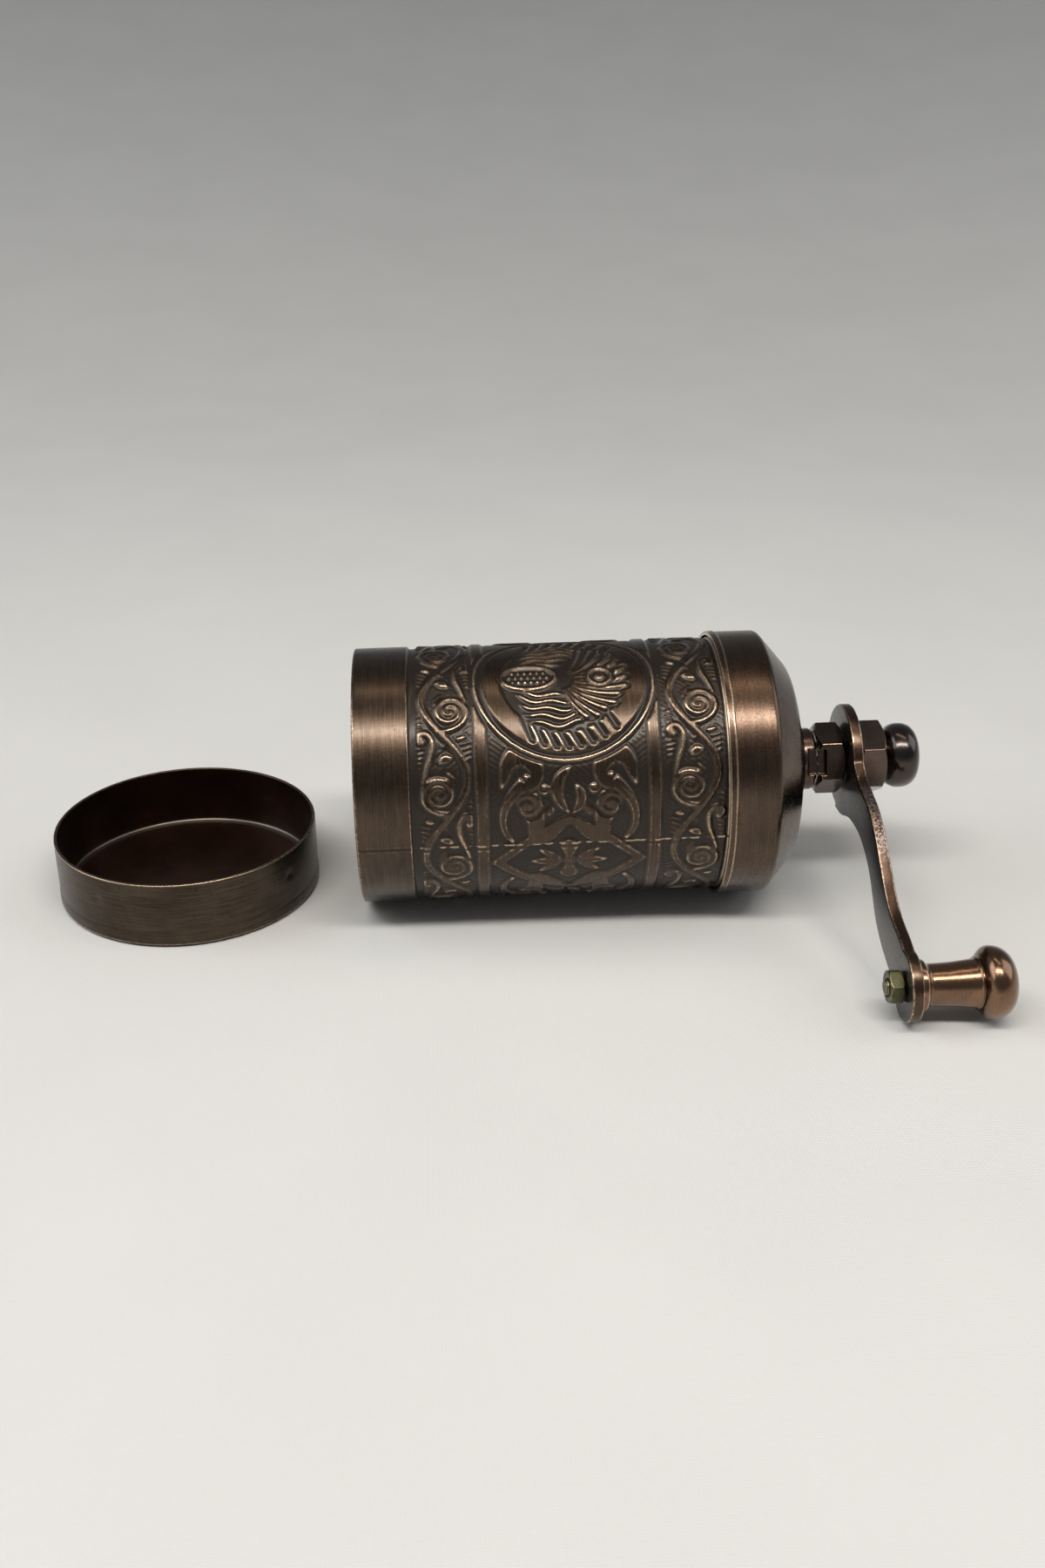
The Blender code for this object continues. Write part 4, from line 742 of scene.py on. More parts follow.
def make_turned_lines():
    """Fine lines that a lathe or a polishing wheel leaves round a piece."""
    tree, given, out = start_group(
        "Turned Lines", (("Fineness", 5.0), ("Length", 3.0), ("Seed", 0.0)), ("Lines", "Bands"))
    place = add(tree, "SeparateXYZ", {0: millimetres(tree)}).outputs
    size = add(tree, "VectorMath", {0: add(tree, "CombineXYZ", {0: place[0], 1: place[1]}).outputs[0]},
               operation="LENGTH").outputs["Value"]
    size = math_node(tree, "MAXIMUM", size, 0.05)
    along = plus(tree, place[2], times(tree, size, 0.8))

    def lines(fineness, detail, length):
        where = add(tree, "CombineXYZ", {
            0: times(tree, math_node(tree, "DIVIDE", place[0], size), length),
            1: times(tree, math_node(tree, "DIVIDE", place[1], size), length),
            2: plus(tree, times(tree, along, fineness), given["Seed"]),
        }).outputs[0]
        noise = add(tree, "TexNoise", {"Vector": where, "Scale": 1.0, "Detail": detail, "Roughness": 0.65})
        return noise.outputs[0]

    fine_lines = lines(given["Fineness"], 3.0, given["Length"])
    broad = lines(times(tree, given["Fineness"], 0.12), 2.0, 1.3)
    tree.links.new(fine_lines, out["Lines"])
    tree.links.new(broad, out["Bands"])
    return tree


def make_patina():
    """Cloudy tone of a plate that has darkened unevenly, with dark specks."""
    tree, given, out = start_group(
        "Patina", (("Size", 6.0), ("Contrast", 0.5), ("Seed", 0.0)), ("Clouds", "Mottle", "Specks"))
    shift = add(tree, "CombineXYZ", {0: given["Seed"], 1: given["Seed"], 2: given["Seed"]}).outputs[0]
    where = add(tree, "VectorMath", {0: millimetres(tree), 1: shift}, operation="ADD").outputs[0]
    rate = math_node(tree, "DIVIDE", 1.0, given["Size"])
    clouds = add(tree, "TexNoise", {"Vector": where, "Scale": rate, "Detail": 4.0, "Roughness": 0.6}).outputs[0]
    half = times(tree, given["Contrast"], 0.5)
    low, high = minus(tree, half, 0.05), minus(tree, 1.05, half)
    tree.links.new(spread(tree, clouds, low, high), out["Clouds"])
    mottle = add(tree, "TexNoise", {"Vector": where, "Scale": 2.2, "Detail": 5.0, "Roughness": 0.7}).outputs[0]
    tree.links.new(spread(tree, mottle, 0.36, 0.66), out["Mottle"])
    specks = add(tree, "TexNoise", {"Vector": where, "Scale": 1.1, "Detail": 2.0, "Roughness": 0.5}).outputs[0]
    tree.links.new(spread(tree, specks, 0.66, 0.74), out["Specks"])
    return tree


def make_edge_wear():
    """Where handling has rubbed a plate through to bright metal."""
    tree, given, out = start_group(
        "Edge Wear", (("Edge", 0.0), ("Amount", 0.5), ("Breakup", 0.5), ("Seed", 0.0)), ("Worn",))
    shift = add(tree, "CombineXYZ", {0: given["Seed"], 1: 3.0, 2: given["Seed"]}).outputs[0]
    where = add(tree, "VectorMath", {0: millimetres(tree), 1: shift}, operation="ADD").outputs[0]
    rough = add(tree, "TexNoise", {"Vector": where, "Scale": 1.4, "Detail": 4.0, "Roughness": 0.7}).outputs[0]
    uneven = times(tree, minus(tree, rough, 0.5), given["Breakup"])
    limit = minus(tree, 1.0, given["Amount"])
    grown = plus(tree, given["Edge"], times(tree, uneven, 2.0))
    worn = spread(tree, grown, limit, plus(tree, limit, 0.45))
    near_edge = math_node(tree, "MINIMUM", times(tree, given["Edge"], 4.0), 1.0)
    tree.links.new(times(tree, worn, near_edge), out["Worn"])
    return tree


def make_cloth():
    """A plain weave with the soft unevenness of a spread cloth."""
    tree, given, out = start_group("Cotton Weave", (("Thread", 0.45),), ("Weave", "Tone"))
    place = add(tree, "SeparateXYZ", {0: millimetres(tree)}).outputs
    rate = math_node(tree, "DIVIDE", math.pi, given["Thread"])
    one = math_node(tree, "ABSOLUTE", math_node(tree, "SINE", times(tree, place[0], rate)))
    two = math_node(tree, "ABSOLUTE", math_node(tree, "SINE", times(tree, place[1], rate)))
    slub = add(tree, "TexNoise", {"Vector": millimetres(tree), "Scale": 0.9, "Detail": 3.0}).outputs[0]
    threads = times(tree, one, two)
    tree.links.new(times(tree, threads, plus(tree, slub, 0.5)), out["Weave"])
    tone = add(tree, "TexNoise", {"Vector": millimetres(tree), "Scale": 0.02, "Detail": 3.0}).outputs[0]
    tree.links.new(tone, out["Tone"])
    return tree


GROUPS = {
    "Turned Lines": make_turned_lines,
    "Patina": make_patina,
    "Edge Wear": make_edge_wear,
    "Cotton Weave": make_cloth,
}


def effect(tree, name, **values):
    """Places a shared effect in a material and returns its outputs."""
    node = tree.nodes.new("ShaderNodeGroup")
    node.node_tree = bpy.data.node_groups.get(name) or GROUPS[name]()
    for socket, value in values.items():
        plug(tree, node.inputs[socket], value)
    return node.outputs


def metal(name, dark, mid, worn, rough=0.36, clouds=7.0, contrast=0.5, lines=0.0, fineness=5.0, length=3.0,
          wear=0.5, breakup=0.6, embossed=False, specks=0.5, bump=0.02, seed=0.0, grain=0.3, ruddy=None,
          lacquer=0.0):
    """An aged metal finish: clouds of dark and mid tones, turned lines, specks,
    patina in the recesses and bare metal along its edges."""
    made = bpy.data.materials.new(name)
    made.use_nodes = True
    tree = made.node_tree
    shader = tree.nodes["Principled BSDF"]
    patina = effect(tree, "Patina", Size=clouds, Contrast=contrast, Seed=seed)
    base = blend(tree, patina["Clouds"], dark, mid)
    if ruddy:
        other = effect(tree, "Patina", Size=clouds * 2.3, Contrast=0.6, Seed=seed + 31.0)
        base = blend(tree, times(tree, other["Clouds"], 0.5), base, ruddy)
    base = blend(tree, times(tree, patina["Mottle"], 0.35), base, tuple(0.55 * c for c in mid))
    roughness = plus(tree, rough, times(tree, patina["Mottle"], 0.08))
    height = times(tree, patina["Mottle"], grain)
    if lines:
        turned_lines = effect(tree, "Turned Lines", Fineness=fineness, Length=length, Seed=seed)
        base = blend(tree, spread(tree, turned_lines["Lines"], 0.42, 0.72, 0.0, lines), base,
                     tuple(min(1.0, 1.9 * c) for c in mid))
        base = blend(tree, spread(tree, turned_lines["Lines"], 0.5, 0.28, 0.0, lines), base,
                     tuple(0.4 * c for c in dark))
        base = blend(tree, spread(tree, turned_lines["Bands"], 0.35, 0.7, 0.0, 0.4 * lines), base,
                     tuple(0.6 * c for c in dark))
        height = plus(tree, height, times(tree, turned_lines["Lines"], lines * 1.6))
    edge = add(tree, "Attribute", attribute_name="edge").outputs["Fac"]
    rubbed = effect(tree, "Edge Wear", Edge=edge, Amount=wear, Breakup=breakup, Seed=seed)["Worn"]
    shader.inputs["Metallic"].default_value = 1.0
    if embossed:
        level = add(tree, "Attribute", attribute_name="level").outputs["Fac"]
        hollow = add(tree, "Attribute", attribute_name="hollow").outputs["Fac"]
        depth = spread(tree, plus(tree, level, times(tree, patina["Mottle"], 0.12)),
                       0.82, 0.22)
        depth = math_node(tree, "MAXIMUM", times(tree, depth, 0.92), hollow)
        base = blend(tree, times(tree, depth, 0.95), base, tuple(finish().soot))
        roughness = plus(tree, roughness, times(tree, depth, 0.18))
        metallic = minus(tree, 1.0, times(tree, depth, 0.25))
        tree.links.new(metallic, shader.inputs["Metallic"])
    base = blend(tree, rubbed, base, worn)
    roughness = minus(tree, roughness, times(tree, rubbed, 0.07))
    base = blend(tree, times(tree, patina["Specks"], specks), base, tuple(finish().soot))
    shader.inputs["Coat Weight"].default_value = lacquer
    shader.inputs["Coat Roughness"].default_value = 0.22
    tree.links.new(base, shader.inputs["Base Color"])
    tree.links.new(roughness, shader.inputs["Roughness"])
    relief = add(tree, "Bump", {"Strength": 1.0, "Distance": bump * MM, "Height": height})
    tree.links.new(relief.outputs[0], shader.inputs["Normal"])
    made.diffuse_color = (*mid, 1.0)
    return made


def finishes():
    """Every finish of the mill by name, made once."""
    f = finish()

    def tone(colour, factor):
        return tuple(factor * c for c in colour)

    copper, dark, worn = tuple(f.copper), tuple(f.copper_dark), tuple(f.copper_worn)
    bronze, deep, knob = tuple(f.bronze), tuple(f.bronze_dark), tuple(f.knob_copper)
    zinc, steel, iron, brass = tuple(f.zinc), tuple(f.steel), tuple(f.iron), tuple(f.brass)
    return {
        "embossed copper": (dark, copper, worn, dict(
            rough=0.28, lines=0.34, fineness=6.0, wear=0.66, breakup=0.35, embossed=True, bump=0.012, seed=2.0,
            lacquer=0.35)),
        "cover copper": (dark, copper, worn, dict(
            rough=0.24, lines=0.36, fineness=7.0, wear=0.62, breakup=0.3, bump=0.010, seed=11.0, lacquer=0.4,
            ruddy=(0.125, 0.062, 0.036))),
        "cap copper": (dark, (0.080, 0.061, 0.043), worn, dict(
            rough=0.32, lines=0.40, fineness=6.0, wear=0.5, breakup=0.5, lacquer=0.15, bump=0.012, seed=23.0)),
        "dark bronze": (deep, bronze, tone(worn, 0.75), dict(
            rough=0.20, wear=0.42, breakup=0.4, lines=0.12, bump=0.004, seed=5.0, lacquer=0.5)),
        "finial bronze": (tone(deep, 0.5), tone(bronze, 0.4), tone(worn, 0.6), dict(
            rough=0.12, wear=0.3, breakup=0.4, lines=0.04, bump=0.001, seed=7.0, specks=0.1, lacquer=1.0)),
        "arm bronze": (deep, bronze, worn, dict(
            rough=0.27, wear=0.34, breakup=0.9, bump=0.006, seed=13.0, lacquer=0.15)),
        "knob copper": (tone(knob, 0.5), knob, (0.60, 0.38, 0.20), dict(
            rough=0.17, lines=0.10, fineness=4.0, wear=0.4, breakup=0.35, bump=0.0015, seed=17.0, lacquer=0.7)),
        "zinc plate": (tone(zinc, 0.5), zinc, (0.26, 0.25, 0.15), dict(
            rough=0.34, wear=0.4, clouds=2.0, bump=0.008, seed=19.0)),
        "sheet steel": (tone(steel, 0.6), steel, (0.7, 0.7, 0.7), dict(
            rough=0.32, lines=0.1, wear=0.5, bump=0.006, seed=29.0)),
        "burr iron": (tone(iron, 0.5), iron, (0.5, 0.5, 0.5), dict(
            rough=0.5, clouds=2.5, wear=0.6, bump=0.05, grain=1.0, seed=37.0)),
        "turned brass": (tone(brass, 0.6), brass, (0.8, 0.66, 0.36), dict(
            rough=0.26, lines=0.3, wear=0.5, bump=0.008, seed=41.0)),
        "spring steel": (tone(steel, 0.45), tone(steel, 0.75), (0.7, 0.7, 0.7), dict(
            rough=0.25, lines=0.15, wear=0.5, bump=0.005, seed=43.0)),
    }


def coat(name):
    """A finish's material, made the first time it is asked for."""
    label = "finish_" + name.replace(" ", "_")
    made = bpy.data.materials.get(label)
    if made:
        return made
    dark, mid, worn, values = finishes()[name]
    return metal(label, dark, mid, worn, **values)


def opened(name):
    """A finish's material, its tree, its shader's colour socket and what feeds it."""
    made = coat(name)
    shown = made.node_tree.nodes["Principled BSDF"].inputs["Base Color"]
    return made, made.node_tree, shown, shown.links[0].from_socket


# ---------------------------------------------------------------- pieces

class MILL_OT_body(bpy.types.Operator):
    """Build the embossed tube with its plain band, groove, seam and rolled bead"""

    bl_idname = "mill.body"
    bl_label = "Embossed Body"

    def execute(self, context):
        s = sizes()
        radius, bore = s.body_radius, s.body_radius - s.body_wall
        top = s.body_height
        band = s.band_height
        emboss_end = s.cover_rim - 0.2
        parts = round((emboss_end - s.emboss_start) / s.emboss_step)
        ground = np.linspace(s.emboss_start, emboss_end, parts)
        level = embossed_field(ground, s.columns, radius)
        # a soft way in from the groove and out under the cover's edge
        ends = step_up((ground - s.emboss_start) / 0.5) * step_up((emboss_end - ground) / 0.4)
        level *= ends[:, None]
        lower = [(0.0, -0.25), (0.08, -0.07), (0.25, 0.0)]
        lower += [(h, 0.0) for h in np.arange(0.8, band - 0.2, 0.6)]
        lower += [(h, 0.0) for h in (band - 0.25, band - 0.12)]
        lower += [(band, -0.05), (band + 0.12, -0.2), (band + 0.25, -0.4), (band + 0.5, -s.emboss_depth - 0.05),
                  (s.emboss_start - 0.4, -s.emboss_depth - 0.05), (s.emboss_start - 0.15, -s.emboss_depth)]
        upper = [(emboss_end + 0.2, -s.emboss_depth * 0.6), (emboss_end + 0.5, 0.0)]
        upper += [(h, 0.0) for h in np.arange(emboss_end + 1.5, top - 0.4, 1.0)]
        upper += [(top - 0.25, 0.0), (top - 0.08, -0.07), (top, -0.25)]
        inner = [(bore, top), (bore, 40.0), (bore, 14.0), (bore, 12.9), (bore - 0.55, 12.5), (bore - 0.7, 12.0),
                 (bore - 0.7, 10.6), (bore - 0.55, 10.1), (bore, 9.6), (bore, 5.0), (bore, 0.0)]
        inner = fine(inner, 1.2, closed=False)

        # columns start on the far side and run over the top to the front
        turn = np.arange(s.columns) / s.columns
        below = ((turn - s.seam_angle / TAU + 0.5) % 1.0 - 0.5) * TAU * radius
        seam = np.abs(below)

        heights = np.concatenate([[h for h, _ in lower], ground, [h for h, _ in upper]])
        offset = np.concatenate([
            np.repeat([[d] for _, d in lower], s.columns, axis=1),
            -s.emboss_depth * (1 - level),
            np.repeat([[d] for _, d in upper], s.columns, axis=1),
        ])
        levels = np.concatenate([np.ones((len(lower), s.columns)), level, np.ones((len(upper), s.columns))])
        dip = np.array([max(0.0, -d) for _, d in lower]) / s.emboss_depth
        levels[: len(lower)] -= np.clip(dip * (np.array([h for h, _ in lower]) > 1.0), 0, 1)[:, None]

        # the soldered seam: a raised line over the embossing, a fine step in the bands
        wander = 0.35 + 0.65 * np.clip(0.5 + 0.8 * np.sin(heights * 1.9) * np.sin(heights * 0.73 + 1.0), 0, 1)
        raised = np.where((heights > 21.2) & (heights < 54.8), 1.0, 0.7) * wander
        raised *= (heights > s.emboss_start) & (heights < emboss_end)
        line = np.exp(-((seam / 0.24) ** 2))[None]
        offset = np.maximum(offset, (-s.emboss_depth + (s.emboss_depth + 0.12) * raised[:, None]) * line
                            - s.emboss_depth * (1 - line) * 1.2)
        plain = ((heights > 0.1) & (heights < band)) | (heights > emboss_end)
        offset -= plain[:, None] * 0.14 * np.exp(-((seam / 0.2) ** 2))[None]
        # painted shade: the colour darkens in a thin line just below the raised seam, where its shadow falls
        levels -= 0.8 * np.clip(levels, 0, 1) * raised[:, None] * np.exp(-(((below - 0.55) / 0.22) ** 2))[None]
        levels = np.maximum(levels, 1.6 * raised[:, None] * line)
        levels -= plain[:, None] * 0.85 * np.exp(-((seam / 0.2) ** 2))[None]

        # each rivet's end shows as a ring under the cover
        for middle in (0.0, 0.5):
            across = ((turn - middle + 0.5) % 1.0 - 0.5) * TAU * radius
            away = np.hypot(across[None], heights[:, None] - RIVET_HEIGHT)
            offset -= 0.12 * np.exp(-(((away - 1.2) / 0.25) ** 2))

        outer = radius + offset
        rows = [ring(r, h, s.columns, FAR_SIDE) for r, h in [*zip(outer, heights), *inner]]
        mesh = skin("body_embossed", rows)
        raised_tops = np.clip((levels - blur(levels, 3, 3)) * 2.2, 0, 1) * (levels > 0.55)
        rim = (heights < 0.4) | ((heights > band - 0.2) & (heights < band + 0.05))
        raised_tops = np.maximum(raised_tops, 0.55 * rim[:, None])
        rest = len(inner) * s.columns
        hollow = np.clip((blur(levels, 3, 3) - levels) * 2.6, 0, 1) * (levels < 0.6)
        store(mesh, "level", np.concatenate([levels.ravel(), np.full(rest, 0.35)]))
        store(mesh, "hollow", np.concatenate([hollow.ravel(), np.zeros(rest)]))
        store(mesh, "edge", np.concatenate([raised_tops.ravel(), np.zeros(rest)]))
        add_piece(mesh, coat("embossed copper"), "mill", "aged_copper", "body_shell", edges=False)
        return {"FINISHED"}


class MILL_OT_cover(bpy.types.Operator):
    """Build the domed cover with its rolled edge, and the collar in it"""

    bl_idname = "mill.cover"
    bl_label = "Cover and Collar"

    def execute(self, context):
        s = sizes()
        rim = s.cover_rim
        top = reach("top_cover", MILL)[1]
        bead = s.cover_radius
        outer = bead - 0.2
        inner = outer - 0.6
        skirt = rim + 8.7
        outline = [
            (inner, rim, 0.1), (bead - 0.1, rim, 0.25), (bead, rim + 1.25, 0.25), (outer, rim + 1.45, 0.1),
            (outer, skirt + 0.35, 0.6), (18.6, top - 2.75, 0.9), (16.5, top - 2.1, 2.0), (9.8, top - 1.05, 0.5),
            (9.0, top, 0.6), (4.7, top, 0.1),
            (4.7, top - 0.6, 0.1), (8.6, top - 0.6, 0.4), (9.4, top - 1.7, 0.4),
            (16.4, top - 2.75, 1.6), (18.3, top - 3.3, 0.8), (inner, skirt, 1.0),
        ]
        mesh = turned("cover_turned", outline, 360)
        add_piece(mesh, coat("cover copper"), "cover", "aged_copper", "top_cover")

        low, high, wide = reach("cover_collar", MILL)
        lip = top - 0.9
        outline = [
            (3.25, lip - 1.0, 0.1), (5.7, lip - 1.0, 0.2), (5.7, lip, 0.1), (4.4, lip, 0.1),
            (4.4, top + 0.3, 0.1), (wide - 0.1, top + 0.3, 0.3),
            (wide, high - 0.55, 0.3), (wide - 0.55, high, 0.25), (3.25, high, 0.1),
        ]
        rows = rows_of(fine(soften(outline), 0.2), 240)
        mesh = skin("cover_collar_turned", notch(rows, high))
        add_piece(mesh, coat("dark bronze"), "cover", "dark_bronze", "cover_collar")
        return {"FINISHED"}


def notch(rows, middle):
    """Sinks the key notch that hub and collar share into rows of points."""
    turn = CRANK_TURN + KEY_TURN
    floor = reach("hub_nut", MILL)[2] * math.cos(math.pi / 6) - KEY_DEPTH
    for row in rows:
        if len(row) == 1:
            continue
        along = row[:, 0] * math.cos(turn) + row[:, 1] * math.sin(turn)
        side = -row[:, 0] * math.sin(turn) + row[:, 1] * math.cos(turn)
        depth = np.clip((KEY_REACH - np.abs(row[:, 2] - middle)) / 0.12, 0, 1)
        depth = depth * np.clip((KEY_HALF_WIDTH - np.abs(side)) / 0.12, 0, 1) * (along > floor)
        sunk = along + (floor - along) * depth
        row[:, 0] = sunk * math.cos(turn) - side * math.sin(turn)
        row[:, 1] = sunk * math.sin(turn) + side * math.cos(turn)
    return rows


def hexagon(columns, flat, turn, soft=0.006):
    """Radius of a hexagon with slightly rounded corners, for each column."""
    a = TAU * np.arange(columns) / columns - turn
    near = np.stack([np.cos(a - TAU * k / 6 - TAU / 12) for k in range(6)])
    most = soft * np.log(np.exp(near / soft).sum(axis=0))
    return flat / most


def hex_rows(profile, columns, flat, turn):
    """Rows of a nut: each row is the least of its turned radius and the hexagon."""
    sides = hexagon(columns, flat, turn)
    rows = []
    for r, h, hexed in profile:
        if r < 1e-6:
            rows.append(np.array([(0.0, 0.0, h)]))
            continue
        size = np.full(columns, r)
        if hexed:
            size = -0.03 * np.log(np.exp((sides - size) / 0.03) + 1) + sides
        rows.append(ring(size, h, columns))
    return rows


def flanks(low, high, outer, flat, chamfer, steps=14):
    """Profile of a nut's outer side with turned chamfers at both ends."""
    found = []
    for k in range(steps + 1):
        t = k / steps
        found.append((flat * 0.985 + (outer * 1.03 - flat * 0.985) * t, low + chamfer * t, True))
    found += [(outer * 1.03, low + chamfer + (high - low - 2 * chamfer) * k / 10, True) for k in range(1, 10)]
    for k in range(steps + 1):
        t = 1 - k / steps
        found.append((flat * 0.985 + (outer * 1.03 - flat * 0.985) * t, high - chamfer * t, True))
    return found


class MILL_OT_crank(bpy.types.Operator):
    """Build the bowed arm, the hub nut under it and the finial nut on it"""

    bl_idname = "mill.crank"
    bl_label = "Crank"

    def execute(self, context):
        low, high, wide = reach("hub_nut", MILL)
        flat = wide * math.cos(math.pi / 6)
        profile = [(3.25, low, False), (flat * 0.9, low, False)]
        profile += flanks(low, high, wide, flat, 0.75)
        profile += [(flat * 0.9, high, False), (3.25, high, False), (3.25, (low + high) / 2, False)]
        dense = []
        for (r, h, hexed), (r2, h2, _) in zip(profile, profile[1:]):
            parts = max(1, math.ceil(abs(h2 - h) / 0.16))
            dense += [(r + (r2 - r) * k / parts, h + (h2 - h) * k / parts, hexed) for k in range(parts)]
        dense.append(profile[-1])
        rows = hex_rows(dense, 360, flat, CRANK_TURN + HUB_NUT_TURN)
        rows = notch(rows, reach("cover_collar", MILL)[1])
        add_piece(skin("hub_nut_turned", rows), coat("dark bronze"), "crank", "dark_bronze", "hub_nut")

        self.build_arm()

        low, high, _ = reach("finial_nut", MILL)
        hex_top, wide = low + 5.2, 7.4
        flat = wide * math.cos(math.pi / 6)
        profile = [(0.0, low + 8.6, False), (3.05, low + 8.6, False), (3.1, low + 4, False), (3.1, low, False)]
        profile += [(flat * 0.9, low, False)]
        profile += flanks(low, hex_top, wide, flat, 0.85)
        profile += [(flat * 0.9, hex_top + 0.02, False), (5.4, hex_top + 0.05, False)]
        profile += [(5.0, hex_top + 0.12, False)]
        half = (high - hex_top - 0.2) / 2
        middle = hex_top + 0.2 + half
        for d in np.linspace(-64, 90, 34):
            c, t = math.cos(math.radians(d)), math.sin(math.radians(d))
            r = 6.2 * max(c, 0) ** 0.5
            profile.append((r if d < 90 else 0.0, middle + half * math.copysign(abs(t) ** 0.9, t), False))
        rows = hex_rows(profile, 288, flat, CRANK_TURN + FINIAL_TURN)
        add_piece(skin("finial_turned", rows), finial_finish(hex_top), "crank", "dark_bronze", "finial_nut")
        return {"FINISHED"}

    def build_arm(self):
        """The arm from its flat outline, with softly rounded edges and its holes."""
        low, high, _ = reach("crank_arm", CRANK)
        outline = arm_outline()
        layers = []
        soft = 0.42
        for k in range(5):
            a = math.radians(90 * k / 4)
            layers.append((soft * (1 - math.sin(a)), low + soft * (1 - math.cos(a))))
        layers += [(0.0, (low + high) / 2)]
        layers += [(d, low + high - h) for d, h in layers[4::-1]]
        rows = [np.column_stack([shrink(outline, d), np.full(len(outline), h)]) for d, h in layers]
        count = len(outline)
        points = [np.concatenate(rows)]
        here, after = np.arange(count), (np.arange(count) + 1) % count
        band = np.stack([here, after, count + after, count + here], axis=1)
        quads = [k * count + band for k in range(len(rows) - 1)]
        hole = drive_hole()
        bolt = np.array([(ARM_LENGTH + 1.8 * math.cos(a), 1.8 * math.sin(a))
                         for a in TAU * np.arange(32) / 32])
        thirds = []
        starts = []
        for side, (inset, height) in ((0, layers[0]), (1, layers[-1])):
            edge = shrink(outline, inset)
            flat_points = np.concatenate([edge, hole, bolt])
            bounds = np.cumsum([0, len(edge), len(hole), len(bolt)])
            lines = [(int(a + i), int(a + (i + 1) % (b - a)))
                     for a, b in zip(bounds, bounds[1:]) for i in range(b - a)]
            found = delaunay_2d_cdt([Vector(p) for p in flat_points], lines, [], 0, 1e-6)
            where = {}
            for new, sources in enumerate(found[3]):
                for source in sources:
                    where[new] = source
            base_index = sum(len(p) for p in points)
            holes = flat_points[len(edge):]
            points.append(np.column_stack([holes, np.full(len(holes), height)]))
            starts.append(base_index)
            edge_start = 0 if side == 0 else (len(rows) - 1) * count

            def index(new):
                old = where[new]
                return edge_start + old if old < len(edge) else base_index + old - len(edge)

            for tri in found[2]:
                middle = np.mean([flat_points[where[v]] for v in tri], axis=0)
                if not inside_outline(middle, edge) or any(inside_outline(middle, h) for h in (hole, bolt)):
                    continue
                corners = [index(v) for v in tri]
                p = np.array([flat_points[where[v]] for v in tri])
                area = np.cross(p[1] - p[0], p[2] - p[0])
                thirds.append(corners if (area > 0) == (side == 1) else corners[::-1])
        for a, b in ((0, len(hole)), (len(hole), len(hole) + len(bolt))):
            n = b - a
            i, j = a + np.arange(n), a + (np.arange(n) + 1) % n
            quads.append(np.stack([starts[0] + j, starts[0] + i, starts[1] + i, starts[1] + j], axis=1))
        points = np.concatenate(points)
        mesh = mesh_of("arm_bowed", points, np.concatenate(quads), np.array(thirds))
        bm = bmesh.new()
        bm.from_mesh(mesh)
        bmesh.ops.recalc_face_normals(bm, faces=bm.faces)
        bm.to_mesh(mesh)
        bm.free()
        mesh.set_sharp_from_angle(angle=math.radians(60))
        mark_edges(mesh)
        add_piece(mesh, arm_finish(), "crank", "dark_bronze", "crank_arm", place=CRANK, edges=False)


def finial_finish(hex_top):
    """The finial's finish: a brown hexagon under a nearly black, glossy ball."""
    made, tree, shown, ball = opened("finial bronze")
    height = add(tree, "SeparateXYZ", {0: millimetres(tree)}).outputs[2]
    patina = effect(tree, "Patina", Size=4.0, Contrast=0.5, Seed=67.0)
    brown = blend(tree, patina["Clouds"], tuple(finish().bronze_dark), tuple(finish().bronze))
    base = blend(tree, spread(tree, height, hex_top - 0.1, hex_top + 0.1), brown, ball)
    tree.links.new(base, shown)
    return made


def arm_finish():
    """The arm's finish: brown edges and a bright worn patch, with a painted reflection: the flat faces are grey
    for the pale cloth they mirror.
    """
    made, tree, shown, base = opened("arm bronze")
    made.name = "arm_plate"
    # painted reflection: the flat faces, found by their normals, are turned grey for the pale cloth they mirror
    side = add(tree, "SeparateXYZ", {0: add(tree, "TexCoord").outputs["Normal"]}).outputs[2]
    flat = spread(tree, math_node(tree, "ABSOLUTE", side), 0.72, 0.92)
    patina = effect(tree, "Patina", Size=5.0, Contrast=0.5, Seed=53.0)
    painted_reflection_grey = blend(tree, patina["Clouds"], tuple(0.75 * c for c in finish().face_reflection_grey), tuple(finish().face_reflection_grey))
    base = blend(tree, times(tree, flat, 0.85), base, painted_reflection_grey)
    along = add(tree, "SeparateXYZ", {0: millimetres(tree)}).outputs[0]
    bell = minus(tree, 1.0, math_node(
        tree, "ABSOLUTE", math_node(tree, "DIVIDE", minus(tree, along, 22.0), 10.0)))
    rubbed = times(tree, spread(tree, bell, 0.0, 0.6),
                       spread(tree, patina["Mottle"], 0.15, 0.75))
    rubbed = times(tree, rubbed, minus(tree, 1.0, flat))
    base = blend(tree, times(tree, rubbed, 0.85), base, (0.62, 0.50, 0.46))
    tree.links.new(base, shown)
    return made


def inside_outline(point, outline):
    x, y = point
    a, b = outline, np.roll(outline, -1, axis=0)
    crosses = (a[:, 1] > y) != (b[:, 1] > y)
    rise = np.where(crosses, b[:, 1] - a[:, 1], 1.0)
    at = a[:, 0] + (y - a[:, 1]) * (b[:, 0] - a[:, 0]) / rise
    return bool((crosses & (at > x)).sum() % 2)


def shrink(outline, distance):
    """An outline moved inwards by a small distance."""
    before, after = np.roll(outline, 1, axis=0), np.roll(outline, -1, axis=0)
    along = after - before
    normal = np.column_stack([-along[:, 1], along[:, 0]]) / np.hypot(*along.T)[:, None]
    return outline + normal * distance


